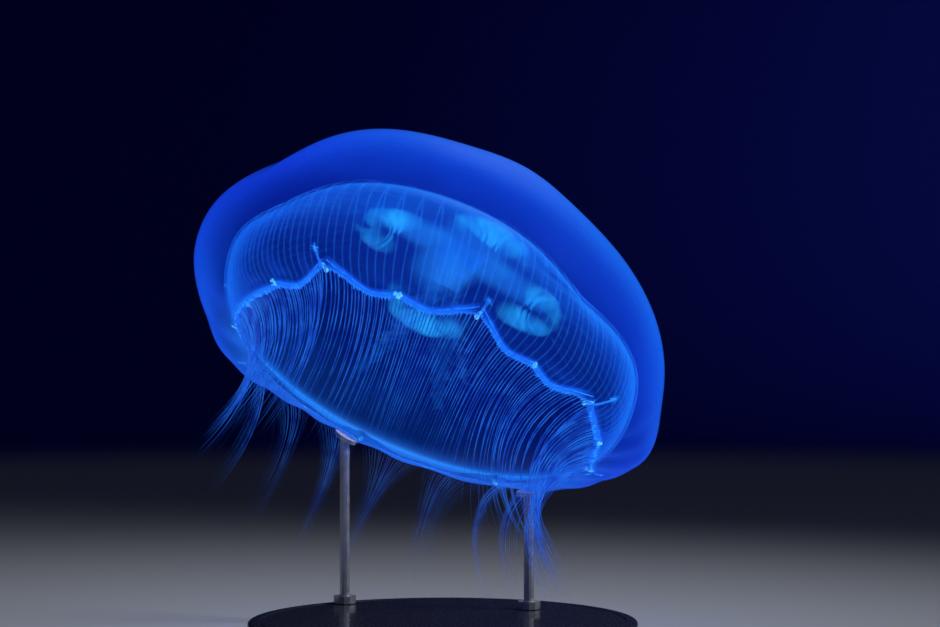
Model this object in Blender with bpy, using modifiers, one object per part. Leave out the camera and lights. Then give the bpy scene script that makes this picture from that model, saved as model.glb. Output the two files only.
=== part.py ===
"""A moon jellyfish, Aurelia, life size, near the end of a swimming stroke, banked on a display stand.

The animal is modelled in its own frame: +Z runs from the mouth of the bell to its apex, the mouth's
centre is the origin, and +Y is the side that faces away from the front. An empty carries that frame
and banks it. The stand is modelled upright, with the centre of its underside at the world's origin.
"""

import math
from collections import namedtuple

import bmesh
import bpy
import numpy as np
from mathutils import Euler, Matrix, Vector

# Where the animal floats, and how far it banks: back, and to the right.
MOUTH_CENTRE = Vector((-0.010, -0.026, 0.099))
BANK_BACK = math.radians(25)
BANK_RIGHT = math.radians(22)

# Bell, with its widest level, its apex and the roof of its cavity.
BELL_RADIUS = 0.0945
WIDEST_HEIGHT = 0.024
APEX_HEIGHT = 0.080
CAVITY_RADIUS = 0.081
ROOF_HEIGHT = 0.056
EDGE_RADIUS = 0.0715
EDGE_HEIGHT = 0.0005
EDGE_THICKNESS = 0.0022
RIM_CENTRE_RADIUS = 0.066
RIM_SQUARENESS = 2.3
BELL_STEPS = 48
OUTER_SHARES = (0, 0.17, 0.34, 0.5, 0.66, 0.83, 1, 1.2, 1.42, 1.68, 2)
INNER_SHARES = (0, 0.35, 0.7, 1, 1.2, 1.4, 1.6, 1.8, 2)

# How the swimming stroke bends the bell out of round. A fold presses the wall in where its depth is
# more than 0, and lets it bulge where it is less. It is deepest at its angle, radius and height, and
# fades away towards the bell's edge.
Fold = namedtuple("Fold", "degrees radius height depth width")
APEX_LEAN = -0.014
LEAN_POWER = 1.3
RIM_TILT = 0.0015
RIM_TILT_ANGLE = math.radians(25)
SHOULDER_FOLD = Fold(206, 0.086, 0.048, 0.0087, 0.025)
LEFT_FLANK = Fold(139, 0.088, 0.011, -0.0062, 0.016)
CROWN = Fold(287, 0.067, 0.066, -0.0024, 0.013)
RIGHT_FOLD = Fold(356, 0.093, 0.037, 0.0045, 0.028)
RIGHT_FOOT = Fold(4, 0.090, 0.011, -0.0033, 0.012)
RIGHT_VAULT = Fold(316, 0.070, 0.036, 0.0080, 0.018)
OUTER_FOLDS = (SHOULDER_FOLD, LEFT_FLANK, CROWN, RIGHT_FOLD, RIGHT_FOOT)
INNER_FOLDS = (SHOULDER_FOLD, RIGHT_VAULT)
FOLD_FADE_RADIUS = 0.083

# Margin: eight lobes of two scallops each, parted by notches that hold the sense organs.
LOBES = 8
FIRST_NOTCH = math.radians(9.5)
NOTCH_DEPTH = 0.006
NOTCH_FADE_HEIGHT = 0.010
SCALLOP_TIP_RADIUS = 0.0665
SCALLOP_TIP_HEIGHT = -0.0015
SCALLOP_CUSP_RADIUS = 0.0695
SCALLOP_CUSP_HEIGHT = 0.0015
LOBE_THICKNESS = 0.0014
LOBE_SEGMENTS = 12
NOTCH_HALF_ANGLE_TOP = math.radians(1.5)
NOTCH_HALF_ANGLE_TIP = math.radians(3.4)
EDGE_GAP = 0.0005
RHOPALIUM_LENGTH = 0.0048
RHOPALIUM_WIDTH = 0.0020

# Tentacles. They leave the margin inwards, hang, and stream out again at their tips.
TENTACLES_PER_LOBE = 9
TENTACLE_LENGTH = 0.058
TENTACLE_EXTRA_RIGHT = 0.008
TENTACLE_SEGMENTS = 5
TENTACLE_BASE_RADIUS = 0.00062
TENTACLE_TIP_RADIUS = 0.00034
TENTACLE_START_ANGLE = math.radians(-62)
TENTACLE_END_ANGLE = math.radians(25)
TENTACLE_TURN_POWER = 0.8
DRIFT_SHARE = 0.65
# How far the water carries a tip to the right as it sinks, by where along X the tentacle has its root.
DRIFT_ROOTS = (-0.95, -0.60, 0.35, 0.70)
DRIFT_SLOPES = (-1.00, -0.45, -0.45, 0.65)
ROOT_SINK = 0.0006

# Four gonads under the roof, and the manubrium with its four oral arms between them.
GONADS = 4
FIRST_GONAD = math.radians(10)
STOMACH_SHIFT = (0.0065, -0.0045)
GONAD_RING_RADIUS = 0.0295
GONAD_ARC_RADIUS = 0.0124
GONAD_ARC_HALF_ANGLE = math.radians(114)
GONAD_TUBE_RADIUS = 0.0028
GONAD_POINTS = 11
MANUBRIUM_TOP_RADIUS = 0.011
MANUBRIUM_FOOT_RADIUS = 0.0065
MANUBRIUM_LENGTH = 0.014
MANUBRIUM_DROP = 0.0016
ARM_LENGTH = 0.046
ARM_SPREAD = 0.019
ARM_ROOT_REACH = 0.0052
ARM_WIDTH_ROOT = 0.0055
ARM_WIDTH_MIDDLE = 0.011
ARM_WIDTH_TIP = 0.004
ARM_RUFFLE = 0.0018
ARM_WAVES = 4
ARM_SEGMENTS = 14
ARM_THICKNESS = 0.0010

# Stand.
BASE_RADIUS = 0.074
BASE_THICKNESS = 0.008
BASE_BEVEL = 0.0012
BASE_SIDES = 64
ROD_RADIUS = 0.0020
ROD_SIDES = 12
COLLAR_RADIUS = 0.0045
COLLAR_HEIGHT = 0.0030
PAD_RADIUS = 0.0050
PAD_THICKNESS = 0.0016
ROD_ANGLES = {"stand_rod_left": math.radians(102), "stand_rod_right": math.radians(48)}
ROD_CONTACT = 0.62
FIT_GAP = 0.0003

# Colours as red, green, blue, with roughness.
JELLY_BLUE = ((0.030, 0.110, 0.620), 0.25)
MARGIN_BLUE = ((0.050, 0.230, 0.800), 0.35)
GONAD_BLUE = ((0.090, 0.420, 0.880), 0.45)
SENSE_CYAN = ((0.450, 0.850, 0.950), 0.35)
ARM_BLUE = ((0.050, 0.260, 0.800), 0.40)
STAND_GREY = ((0.060, 0.065, 0.072), 0.35)
ROD_STEEL = ((0.620, 0.630, 0.640), 0.25)


def clear_scene():
    """Empties the startup scene."""
    for obj in list(bpy.data.objects):
        bpy.data.objects.remove(obj, do_unlink=True)


def new_collection(name):
    """Returns a new collection of the scene."""
    collection = bpy.data.collections.new(name)
    bpy.context.scene.collection.children.link(collection)
    return collection


def new_material(name, finish, metallic=0.0):
    """Returns a plain Principled material of this colour and roughness."""
    colour, roughness = finish
    material = bpy.data.materials.new(name)
    material.use_nodes = True
    shader = material.node_tree.nodes["Principled BSDF"]
    shader.inputs["Base Color"].default_value = (*colour, 1.0)
    shader.inputs["Roughness"].default_value = roughness
    shader.inputs["Metallic"].default_value = metallic
    return material


def add_object(name, mesh, material, collection, parent=None):
    """Links a mesh as a named object with its material."""
    mesh.name = name
    mesh.materials.clear()
    mesh.materials.append(material)
    obj = bpy.data.objects.new(name, mesh)
    collection.objects.link(obj)
    obj.parent = parent
    return obj


def baked_mesh(obj):
    """Returns the object's evaluated mesh, with doubles merged, and removes the object."""
    bpy.context.view_layer.update()
    graph = bpy.context.evaluated_depsgraph_get()
    mesh = bpy.data.meshes.new_from_object(obj.evaluated_get(graph), depsgraph=graph)
    bpy.data.objects.remove(obj, do_unlink=True)
    work = bmesh.new()
    work.from_mesh(mesh)
    bmesh.ops.remove_doubles(work, verts=work.verts, dist=1e-6)
    bmesh.ops.recalc_face_normals(work, faces=work.faces)
    work.to_mesh(mesh)
    work.free()
    return mesh


def joined_mesh(base, others, collection):
    """Returns the mesh of base united with each of the other objects; all of them are removed."""
    for other in others:
        union = base.modifiers.new(other.name, "BOOLEAN")
        union.operation = "UNION"
        union.solver = "EXACT"
        union.object = other
    mesh = baked_mesh(base)
    for other in others:
        bpy.data.objects.remove(other, do_unlink=True)
    return mesh


def smooth_step(low, high, value):
    """Returns 0 below low, 1 above high, and an eased value between them."""
    share = min(max((value - low) / (high - low), 0.0), 1.0)
    return share * share * (3 - 2 * share)


def rim_arc(half_width, depth, angle):
    """Returns (radius, height) on the rounded rim, from the widest level at 0 down to its end at 90 degrees."""
    power = 2 / RIM_SQUARENESS
    return (
        RIM_CENTRE_RADIUS + half_width * math.cos(angle) ** power,
        WIDEST_HEIGHT - depth * math.sin(angle) ** power,
    )


def rim_end(half_width, end_radius):
    """Returns the angle at which a rim arc of this half width has come in to end_radius."""
    share = (end_radius - RIM_CENTRE_RADIUS) / half_width
    return math.acos(share ** (RIM_SQUARENESS / 2))


def rim_depth(half_width, end_radius, end_height):
    """Returns the depth that brings a rim arc down to end_height at end_radius."""
    drop = math.sin(rim_end(half_width, end_radius)) ** (2 / RIM_SQUARENESS)
    return (WIDEST_HEIGHT - end_height) / drop


OUTER_HALF = BELL_RADIUS - RIM_CENTRE_RADIUS
INNER_HALF = CAVITY_RADIUS - RIM_CENTRE_RADIUS
INNER_EDGE = (EDGE_RADIUS - 0.0005, EDGE_HEIGHT + EDGE_THICKNESS)
OUTER_DEPTH = rim_depth(OUTER_HALF, EDGE_RADIUS, EDGE_HEIGHT)
INNER_DEPTH = rim_depth(INNER_HALF, *INNER_EDGE)


def outer_point(share):
    """Returns (radius, height) down the outside: 0 at the apex, 1 at the widest level, 2 at the edge."""
    if share <= 1:
        angle = (1 - share) * math.pi / 2
        rise = APEX_HEIGHT - WIDEST_HEIGHT
        return BELL_RADIUS * math.cos(angle), WIDEST_HEIGHT + rise * math.sin(angle)
    return rim_arc(OUTER_HALF, OUTER_DEPTH, (share - 1) * rim_end(OUTER_HALF, EDGE_RADIUS))


def inner_point(share):
    """Returns (radius, height) up the inside: 0 at the edge, 1 at the widest level, 2 at the roof's centre."""
    if share <= 1:
        return rim_arc(INNER_HALF, INNER_DEPTH, (1 - share) * rim_end(INNER_HALF, INNER_EDGE[0]))
    angle = (share - 1) * math.pi / 2
    rise = ROOF_HEIGHT - WIDEST_HEIGHT
    return CAVITY_RADIUS * math.cos(angle), WIDEST_HEIGHT + rise * math.sin(angle)


def roof_height(radius):
    """Returns the height of the cavity's faceted roof at this radius."""
    roof = [inner_point(share) for share in INNER_SHARES if share >= 1]
    radii, heights = zip(*reversed(roof))
    return float(np.interp(radius, radii, heights))


def pressed(point, folds):
    """Returns a point of the round bell after these folds have pressed it in or let it out."""
    outward = (point - Vector((0, 0, WIDEST_HEIGHT))).normalized()
    edge_share = 1.0
    if point.z < WIDEST_HEIGHT:
        edge_share = smooth_step(EDGE_RADIUS, FOLD_FADE_RADIUS, math.hypot(point.x, point.y))
    moved = point.copy()
    for fold in folds:
        middle = polar(fold.radius, math.radians(fold.degrees), fold.height)
        share = math.exp(-((point - middle).length ** 2) / (2 * fold.width**2))
        moved -= outward * fold.depth * share * edge_share
    return moved


def bent(point, folds=()):
    """Returns where the swimming stroke puts a point of the round bell, which these folds reach."""
    x, y, z = point
    moved = pressed(point, folds)
    moved.x += APEX_LEAN * max(0.0, z / APEX_HEIGHT) ** LEAN_POWER
    low = 1 - smooth_step(0.0, WIDEST_HEIGHT, z)
    moved.z -= RIM_TILT * (1 + math.cos(math.atan2(y, x) - RIM_TILT_ANGLE)) * low
    return moved


def lies_inside(radius, height):
    """Tells whether a point of the bell's profile lies on its inside rather than on its outside."""
    if height > WIDEST_HEIGHT:
        rise = (height - WIDEST_HEIGHT) / (ROOF_HEIGHT - WIDEST_HEIGHT)
        return (radius / CAVITY_RADIUS) ** 2 + rise**2 < 1.001
    across = max(0.0, (radius - RIM_CENTRE_RADIUS) / INNER_HALF)
    down = (WIDEST_HEIGHT - height) / INNER_DEPTH
    return across**RIM_SQUARENESS + down**RIM_SQUARENESS < 1.001


def polar(radius, angle, height):
    """Returns the point at this radius, angle and height."""
    return Vector((radius * math.cos(angle), radius * math.sin(angle), height))


def notch_share(angle):
    """Returns how deep in a notch this angle lies, 1 at its middle, linear between the bell's facets."""
    facet = 2 * math.pi / BELL_STEPS
    pitch = 2 * math.pi / LOBES
    off = (angle - FIRST_NOTCH + pitch / 2) % pitch - pitch / 2
    return max(0.0, 1 - abs(off) / facet)


def notched(radius, height, angle):
    """Returns (radius, height) after the notches draw the rim's edge up the wall."""
    low = 1 - smooth_step(EDGE_HEIGHT, NOTCH_FADE_HEIGHT, height)
    shift = NOTCH_DEPTH * notch_share(angle) * low
    return radius + shift * 0.85, height + shift * 0.53


def make_bell(material, collection, parent):
    """Builds the jelly of the bell: a turned profile, notched along its edge and bent by the stroke."""
    profile = [outer_point(share) for share in OUTER_SHARES] + [inner_point(share) for share in INNER_SHARES]
    start = Matrix.Rotation(FIRST_NOTCH, 3, "Z")
    mesh = bpy.data.meshes.new("bell_profile")
    points = [start @ Vector((radius, 0, height)) for radius, height in profile]
    mesh.from_pydata(points, [(i, i + 1) for i in range(len(points) - 1)], [])
    turned = bpy.data.objects.new("bell_profile", mesh)
    collection.objects.link(turned)
    screw = turned.modifiers.new("turn", "SCREW")
    screw.axis = "Z"
    screw.steps = screw.render_steps = BELL_STEPS
    screw.use_merge_vertices = True
    screw.merge_threshold = 1e-5
    solid = baked_mesh(turned)
    for vertex in solid.vertices:
        x, y, z = vertex.co
        angle = math.atan2(y, x)
        folds = INNER_FOLDS if lies_inside(math.hypot(x, y), z) else OUTER_FOLDS
        radius, height = notched(math.hypot(x, y), z, angle)
        vertex.co = bent(polar(radius, angle, height), folds)
    return add_object("bell", solid, material, collection, parent)


def edge_point(angle):
    """Returns the middle of the bell's edge at this angle, along the facets of the bell."""
    facet = 2 * math.pi / BELL_STEPS
    low = FIRST_NOTCH + math.floor((angle - FIRST_NOTCH) / facet) * facet
    ends = []
    for corner in (low, low + facet):
        outside = bent(polar(*_swap(notched(*outer_point(2), corner), corner)))
        inside = bent(polar(*_swap(notched(*inner_point(0), corner), corner)))
        ends.append((outside + inside) / 2)
    return ends[0].lerp(ends[1], (angle - low) / facet)


def _swap(flat, angle):
    """Returns (radius, angle, height) from (radius, height) and an angle."""
    return flat[0], angle, flat[1]


def scallop(angle):
    """Returns 0 at a notch or a cusp between two scallops and 1 at a scallop's tip."""
    pitch = math.pi / LOBES
    return math.sin(math.pi * (((angle - FIRST_NOTCH) / pitch) % 1.0)) ** 0.8


def tip_point(angle):
    """Returns the free edge of the margin at this angle."""
    share = scallop(angle)
    radius = SCALLOP_CUSP_RADIUS + (SCALLOP_TIP_RADIUS - SCALLOP_CUSP_RADIUS) * share
    height = SCALLOP_CUSP_HEIGHT + (SCALLOP_TIP_HEIGHT - SCALLOP_CUSP_HEIGHT) * share
    return bent(polar(radius, angle, height))


def lobe_angle(index, along, down):
    """Returns the angle of a point of a lobe: along from one notch to the next, down from edge to tip."""
    pitch = 2 * math.pi / LOBES
    inset = NOTCH_HALF_ANGLE_TOP + (NOTCH_HALF_ANGLE_TIP - NOTCH_HALF_ANGLE_TOP) * down
    first = FIRST_NOTCH + index * pitch + inset
    return first + along * (pitch - 2 * inset)


def lobe_point(index, along, down):
    """Returns a point of the middle surface of a lobe."""
    angle = lobe_angle(index, along, down)
    top = edge_point(angle)
    tip = tip_point(angle)
    top += (tip - top).normalized() * (EDGE_GAP + LOBE_THICKNESS * 0.1)
    return top.lerp(tip, down)


def drift(slope):
    """Returns the unit direction, in the animal's frame, of a tip that sinks and is carried to the right."""
    return bank_matrix().to_3x3().inverted() @ Vector((slope, 0, -1)).normalized()


def tentacle_path(root, angle):
    """Returns the points of a tentacle's middle line from its root."""
    outward = Vector((math.cos(angle), math.sin(angle), 0))
    across = root.x / SCALLOP_TIP_RADIUS
    pull = drift(float(np.interp(across, DRIFT_ROOTS, DRIFT_SLOPES)))
    extra = TENTACLE_EXTRA_RIGHT * smooth_step(*DRIFT_ROOTS[-2:], across)
    step = (TENTACLE_LENGTH + extra) / TENTACLE_SEGMENTS
    points = [root.copy()]
    for i in range(TENTACLE_SEGMENTS):
        share = (i + 0.5) / TENTACLE_SEGMENTS
        turn = TENTACLE_START_ANGLE + (TENTACLE_END_ANGLE - TENTACLE_START_ANGLE) * share**TENTACLE_TURN_POWER
        own = outward * math.sin(turn) - Vector((0, 0, math.cos(turn)))
        points.append(points[-1] + own.lerp(pull, DRIFT_SHARE * share).normalized() * step)
    return points


def tapered_tube(name, paths, radii, collection, resolution=0):
    """Returns a mesh object of round tubes, one along each path, whose radii run from the first to the last."""
    curve = bpy.data.curves.new(name, "CURVE")
    curve.dimensions = "3D"
    curve.bevel_depth = 1.0
    curve.bevel_resolution = resolution
    curve.use_fill_caps = True
    for path in paths:
        spline = curve.splines.new("POLY")
        spline.points.add(len(path) - 1)
        for i, point in enumerate(path):
            share = i / (len(path) - 1)
            spline.points[i].co = (*point, 1.0)
            spline.points[i].radius = radii[0] + (radii[1] - radii[0]) * share
    wire = bpy.data.objects.new(name, curve)
    collection.objects.link(wire)
    tube = bpy.data.objects.new(name, baked_mesh(wire))
    collection.objects.link(tube)
    return tube


def make_margin_lobe(index, material, collection, parent):
    """Builds one lobe of the margin, a thin curved flap, and joins its tentacles to it."""
    flap = bmesh.new()
    bmesh.ops.create_grid(flap, x_segments=LOBE_SEGMENTS, y_segments=2, size=0.5)
    for vertex in flap.verts:
        along, down = vertex.co.x + 0.5, 0.5 - vertex.co.y
        vertex.co = lobe_point(index, along, down)
    mesh = bpy.data.meshes.new("flap")
    flap.to_mesh(mesh)
    flap.free()
    lobe = bpy.data.objects.new("flap", mesh)
    collection.objects.link(lobe)
    wall = lobe.modifiers.new("wall", "SOLIDIFY")
    wall.thickness = LOBE_THICKNESS
    wall.offset = 0.0
    wall.use_even_offset = True
    paths = []
    for i in range(TENTACLES_PER_LOBE):
        along = (i + 0.5) / TENTACLES_PER_LOBE
        angle = lobe_angle(index, along, 1.0)
        tip = lobe_point(index, along, 1.0)
        root = tip + (lobe_point(index, along, 0.0) - tip).normalized() * ROOT_SINK
        paths.append(tentacle_path(root, angle))
    radii = (TENTACLE_BASE_RADIUS, TENTACLE_TIP_RADIUS)
    fringe = tapered_tube("fringe", paths, radii, collection)
    solid = joined_mesh(lobe, [fringe], collection)
    return add_object(f"margin_lobe_{index + 1}", solid, material, collection, parent)


def make_rhopalium(index, material, collection, parent):
    """Builds one sense organ, a small club that lies in a notch of the margin."""
    angle = FIRST_NOTCH + index * 2 * math.pi / LOBES
    top = edge_point(angle)
    along = (tip_point(angle) - top).normalized()
    club = bmesh.new()
    bmesh.ops.create_uvsphere(club, u_segments=6, v_segments=5, radius=0.5)
    bmesh.ops.scale(club, vec=(RHOPALIUM_WIDTH, RHOPALIUM_WIDTH, RHOPALIUM_LENGTH), verts=club.verts)
    place = Matrix.Translation(top + along * (RHOPALIUM_LENGTH / 2 + FIT_GAP))
    turn = along.to_track_quat("Z", "Y").to_matrix().to_4x4()
    bmesh.ops.transform(club, matrix=place @ turn, verts=club.verts)
    mesh = bpy.data.meshes.new("club")
    club.to_mesh(mesh)
    club.free()
    return add_object(f"rhopalium_{index + 1}", mesh, material, collection, parent)


def make_gonad(index, material, collection, parent):
    """Builds one gonad, a horseshoe under the roof that opens towards the middle."""
    outward = FIRST_GONAD + index * 2 * math.pi / GONADS
    centre = polar(GONAD_RING_RADIUS, outward, 0) + Vector((*STOMACH_SHIFT, 0))
    path = []
    for i in range(GONAD_POINTS):
        swing = GONAD_ARC_HALF_ANGLE * (2 * i / (GONAD_POINTS - 1) - 1)
        point = centre + polar(GONAD_ARC_RADIUS, outward + swing, 0)
        radius = math.hypot(point.x, point.y)
        point.z = roof_height(radius) - GONAD_TUBE_RADIUS - 3 * FIT_GAP
        path.append(bent(point, INNER_FOLDS))
    radii = (GONAD_TUBE_RADIUS, GONAD_TUBE_RADIUS)
    tube = tapered_tube("horseshoe", [path], radii, collection, resolution=1)
    mesh = tube.data
    bpy.data.objects.remove(tube, do_unlink=True)
    return add_object(f"gonad_{index + 1}", mesh, material, collection, parent)


def manubrium_axis(depth):
    """Returns the point of the mouth stalk's axis this far under the roof."""
    top = Vector((*STOMACH_SHIFT, roof_height(math.hypot(*STOMACH_SHIFT))))
    return bent(top, INNER_FOLDS) - Vector((0, 0, depth))


def make_manubrium(material, collection, parent):
    """Builds the mouth stalk, a four-sided pillar with rounded corners under the roof."""
    stalk = bmesh.new()
    bmesh.ops.create_cone(
        stalk,
        cap_ends=True,
        segments=16,
        radius1=MANUBRIUM_FOOT_RADIUS,
        radius2=MANUBRIUM_TOP_RADIUS,
        depth=MANUBRIUM_LENGTH,
    )
    bmesh.ops.subdivide_edges(
        stalk, edges=[e for e in stalk.edges if abs(e.verts[0].co.z - e.verts[1].co.z) > 0.001], cuts=2
    )
    centre = manubrium_axis(MANUBRIUM_LENGTH / 2 + MANUBRIUM_DROP)
    first = FIRST_GONAD + math.pi / GONADS
    for vertex in stalk.verts:
        x, y, z = vertex.co
        angle = math.atan2(y, x)
        waist = 1 - 0.18 * math.cos(math.pi * z / MANUBRIUM_LENGTH)
        cross = 1 + 0.14 * math.cos(GONADS * (angle - first))
        vertex.co = Vector((x * cross * waist, y * cross * waist, z)) + centre
    mesh = bpy.data.meshes.new("stalk")
    stalk.to_mesh(mesh)
    stalk.free()
    return add_object("manubrium", mesh, material, collection, parent)


def arm_middle(index, share):
    """Returns the middle line of an oral arm and the direction outwards, share 0 at its root and 1 at its tip."""
    angle = FIRST_GONAD + (index + 0.5) * 2 * math.pi / GONADS
    outward = Vector((math.cos(angle), math.sin(angle), 0))
    reach = ARM_ROOT_REACH + ARM_SPREAD * share**1.3
    start = manubrium_axis(MANUBRIUM_LENGTH + MANUBRIUM_DROP + 2 * FIT_GAP)
    return start + outward * reach - Vector((0, 0, ARM_LENGTH * share * (1 - 0.12 * share))), outward


def arm_width(share):
    """Returns the width of an oral arm, share 0 at its root and 1 at its tip."""
    widening = (ARM_WIDTH_MIDDLE - ARM_WIDTH_ROOT) * smooth_step(0.0, 0.35, share)
    narrowing = (ARM_WIDTH_MIDDLE - ARM_WIDTH_TIP) * smooth_step(0.35, 1.0, share)
    return ARM_WIDTH_ROOT + widening - narrowing


def make_oral_arm(index, material, collection, parent):
    """Builds one oral arm, a tapering ruffled ribbon that hangs from the mouth."""
    ribbon = bmesh.new()
    bmesh.ops.create_grid(ribbon, x_segments=2, y_segments=ARM_SEGMENTS, size=0.5)
    for vertex in ribbon.verts:
        side, share = vertex.co.x * 2, vertex.co.y + 0.5
        middle, outward = arm_middle(index, share)
        across = Vector((-outward.y, outward.x, 0))
        width = arm_width(share)
        ruffle = ARM_RUFFLE * math.sin(2 * math.pi * ARM_WAVES * share + side) * abs(side)
        keel = -0.25 * width * (1 - abs(side))
        vertex.co = middle + across * side * width / 2 + outward * (ruffle + keel)
    mesh = bpy.data.meshes.new("ribbon")
    ribbon.to_mesh(mesh)
    ribbon.free()
    strip = bpy.data.objects.new("ribbon", mesh)
    collection.objects.link(strip)
    wall = strip.modifiers.new("wall", "SOLIDIFY")
    wall.thickness = ARM_THICKNESS
    wall.offset = 0.0
    return add_object(f"oral_arm_{index + 1}", baked_mesh(strip), material, collection, parent)


def bank_matrix():
    """Returns the matrix from the animal's frame to the world."""
    turn = Euler((-BANK_BACK, BANK_RIGHT, 0)).to_matrix().to_4x4()
    return Matrix.Translation(MOUTH_CENTRE) @ turn


def make_bank():
    """Returns the empty that carries the animal's frame."""
    bank = bpy.data.objects.new("swimming_bank", None)
    bpy.context.scene.collection.objects.link(bank)
    bank.location = MOUTH_CENTRE
    bank.rotation_euler = (-BANK_BACK, BANK_RIGHT, 0)
    return bank


def cylinder_object(name, radius, height, matrix, sides, collection):
    """Returns a cylinder object whose foot is at the matrix's origin, along its Z."""
    work = bmesh.new()
    bmesh.ops.create_cone(work, cap_ends=True, segments=sides, radius1=radius, radius2=radius, depth=height)
    bmesh.ops.translate(work, vec=(0, 0, height / 2), verts=work.verts)
    bmesh.ops.transform(work, matrix=matrix, verts=work.verts)
    mesh = bpy.data.meshes.new(name)
    work.to_mesh(mesh)
    work.free()
    obj = bpy.data.objects.new(name, mesh)
    collection.objects.link(obj)
    return obj


def bell_contact(angle):
    """Returns the world point and outward normal where a rod meets the underside of the bell."""
    place = bank_matrix()
    share = 1 + ROD_CONTACT
    delta = 0.02

    def surface(turn, down):
        radius, height = outer_point(down)
        return bent(polar(radius, turn, height), OUTER_FOLDS)

    point = surface(angle, share)
    across = surface(angle + delta, share) - surface(angle - delta, share)
    down = surface(angle, share + delta) - surface(angle, share - delta)
    normal = across.cross(down)
    if normal.dot(point) < 0:
        normal.negate()
    return place @ point, (place.to_3x3() @ normal).normalized()


def make_stand_rod(name, angle, material, collection):
    """Builds a rod: a collar on the base, an upright, and a round pad that lies under the bell."""
    contact, normal = bell_contact(angle)
    pad_far = contact + normal * (PAD_THICKNESS + 2 * FIT_GAP)
    foot = Vector((pad_far.x, pad_far.y, BASE_THICKNESS + FIT_GAP))
    upright = pad_far.z - foot.z + PAD_THICKNESS * 0.3
    rod = cylinder_object(name + "_shaft", ROD_RADIUS, upright, Matrix.Translation(foot), ROD_SIDES, collection)
    collar = cylinder_object(
        name + "_collar", COLLAR_RADIUS, COLLAR_HEIGHT, Matrix.Translation(foot), ROD_SIDES, collection
    )
    turn = (-normal).to_track_quat("Z", "Y").to_matrix().to_4x4()
    pad = cylinder_object(
        name + "_pad", PAD_RADIUS, PAD_THICKNESS, Matrix.Translation(pad_far) @ turn, ROD_SIDES, collection
    )
    mesh = joined_mesh(rod, [collar, pad], collection)
    return add_object(name, mesh, material, collection)


def make_stand_base(material, collection):
    """Builds the round flat base, with a bevel round its top and bottom."""
    disc = cylinder_object("disc", BASE_RADIUS, BASE_THICKNESS, Matrix.Identity(4), BASE_SIDES, collection)
    bevel = disc.modifiers.new("edge", "BEVEL")
    bevel.width = BASE_BEVEL
    bevel.segments = 1
    bevel.limit_method = "ANGLE"
    return add_object("stand_base", baked_mesh(disc), material, collection)


def main():
    """Builds the jellyfish and its stand."""
    clear_scene()
    jelly = new_collection("moon_jellyfish")
    bank = make_bank()
    bell_blue = new_material("jelly", JELLY_BLUE)
    margin_blue = new_material("margin", MARGIN_BLUE)
    gonad_blue = new_material("gonad", GONAD_BLUE)
    sense_cyan = new_material("sense_organ", SENSE_CYAN)
    arm_blue = new_material("oral_arm", ARM_BLUE)
    stand_grey = new_material("stand", STAND_GREY)
    rod_steel = new_material("rod", ROD_STEEL, metallic=1.0)

    make_bell(bell_blue, jelly, bank)
    for index in range(LOBES):
        make_margin_lobe(index, margin_blue, jelly, bank)
        make_rhopalium(index, sense_cyan, jelly, bank)
    for index in range(GONADS):
        make_gonad(index, gonad_blue, jelly, bank)
        make_oral_arm(index, arm_blue, jelly, bank)
    make_manubrium(arm_blue, jelly, bank)
    make_stand_base(stand_grey, jelly)
    for name, angle in ROD_ANGLES.items():
        make_stand_rod(name, angle, rod_steel, jelly)
    for obj in jelly.objects:
        obj.data.shade_smooth()
        obj.data.set_sharp_from_angle(angle=math.radians(40))


main()
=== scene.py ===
"""The looks of a life-size moon jellyfish on its display stand.

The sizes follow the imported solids. This script lays one clear skin over the bell and its margin, fills
it with canals, gonads and mouth arms, hangs the full fringe of tentacles from it, and finishes the
stand. Lengths are metres. The animal is drawn in its own frame, in which +Z runs from the bell's mouth
to its apex, and is turned into the world's frame when its meshes are made.
"""

from __future__ import annotations

import logging
import math
from dataclasses import dataclass
from enum import Enum

import bmesh
import bpy
import numpy as np
from mathutils import Euler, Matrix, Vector

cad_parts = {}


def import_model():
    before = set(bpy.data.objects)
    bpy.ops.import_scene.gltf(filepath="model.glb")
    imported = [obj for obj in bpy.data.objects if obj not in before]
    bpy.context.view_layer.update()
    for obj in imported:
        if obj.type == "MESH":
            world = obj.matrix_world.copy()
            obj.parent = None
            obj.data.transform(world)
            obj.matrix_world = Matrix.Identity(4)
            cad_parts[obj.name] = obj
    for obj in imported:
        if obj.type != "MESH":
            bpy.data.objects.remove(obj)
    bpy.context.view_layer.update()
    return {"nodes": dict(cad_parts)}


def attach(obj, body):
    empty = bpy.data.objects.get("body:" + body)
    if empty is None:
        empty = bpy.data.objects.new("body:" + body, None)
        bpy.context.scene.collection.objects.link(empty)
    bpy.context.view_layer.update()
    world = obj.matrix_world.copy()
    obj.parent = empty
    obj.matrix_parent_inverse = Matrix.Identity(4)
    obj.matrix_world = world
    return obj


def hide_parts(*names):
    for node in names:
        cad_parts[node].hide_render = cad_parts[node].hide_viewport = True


LOG = logging.getLogger("moon_jellyfish")
Triple = tuple[float, float, float]
Colour = Triple
Pair = tuple[float, float]
Array = np.ndarray
Mesh = bpy.types.Mesh
Object = bpy.types.Object
Material = bpy.types.Material
Tree = bpy.types.NodeTree
Socket = bpy.types.NodeSocket
TAU = 2 * math.pi
UP = np.array([0.0, 0.0, 1.0])
STOMACH_SHIFT = (0.0065, -0.0045)
JITTER = (-0.2, 0.2)
LINE_STEP = 0.0001
LINE_POINTS = (400, 12)
MERGE_DISTANCE = 1e-6
OUTWARD_BAND = (-0.2, 0.5)
STRAND_PHASE = 0.07
STRIP_MARGINS = (0.15, 0.02)
CLOUD_NOISE = {"Detail": 3.0, "Roughness": 0.55}
FINE_RELIEF = (5.0, 0.2)
CLEAR_PIECES = ("bell_skin", "radial_canals", "tentacles", "notch_tufts", "stomach", "mouth_stalk") + tuple(
    f"{name}_{i}" for name in ("gonad_frill", "oral_ruffle") for i in (1, 2, 3, 4)
)


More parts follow.
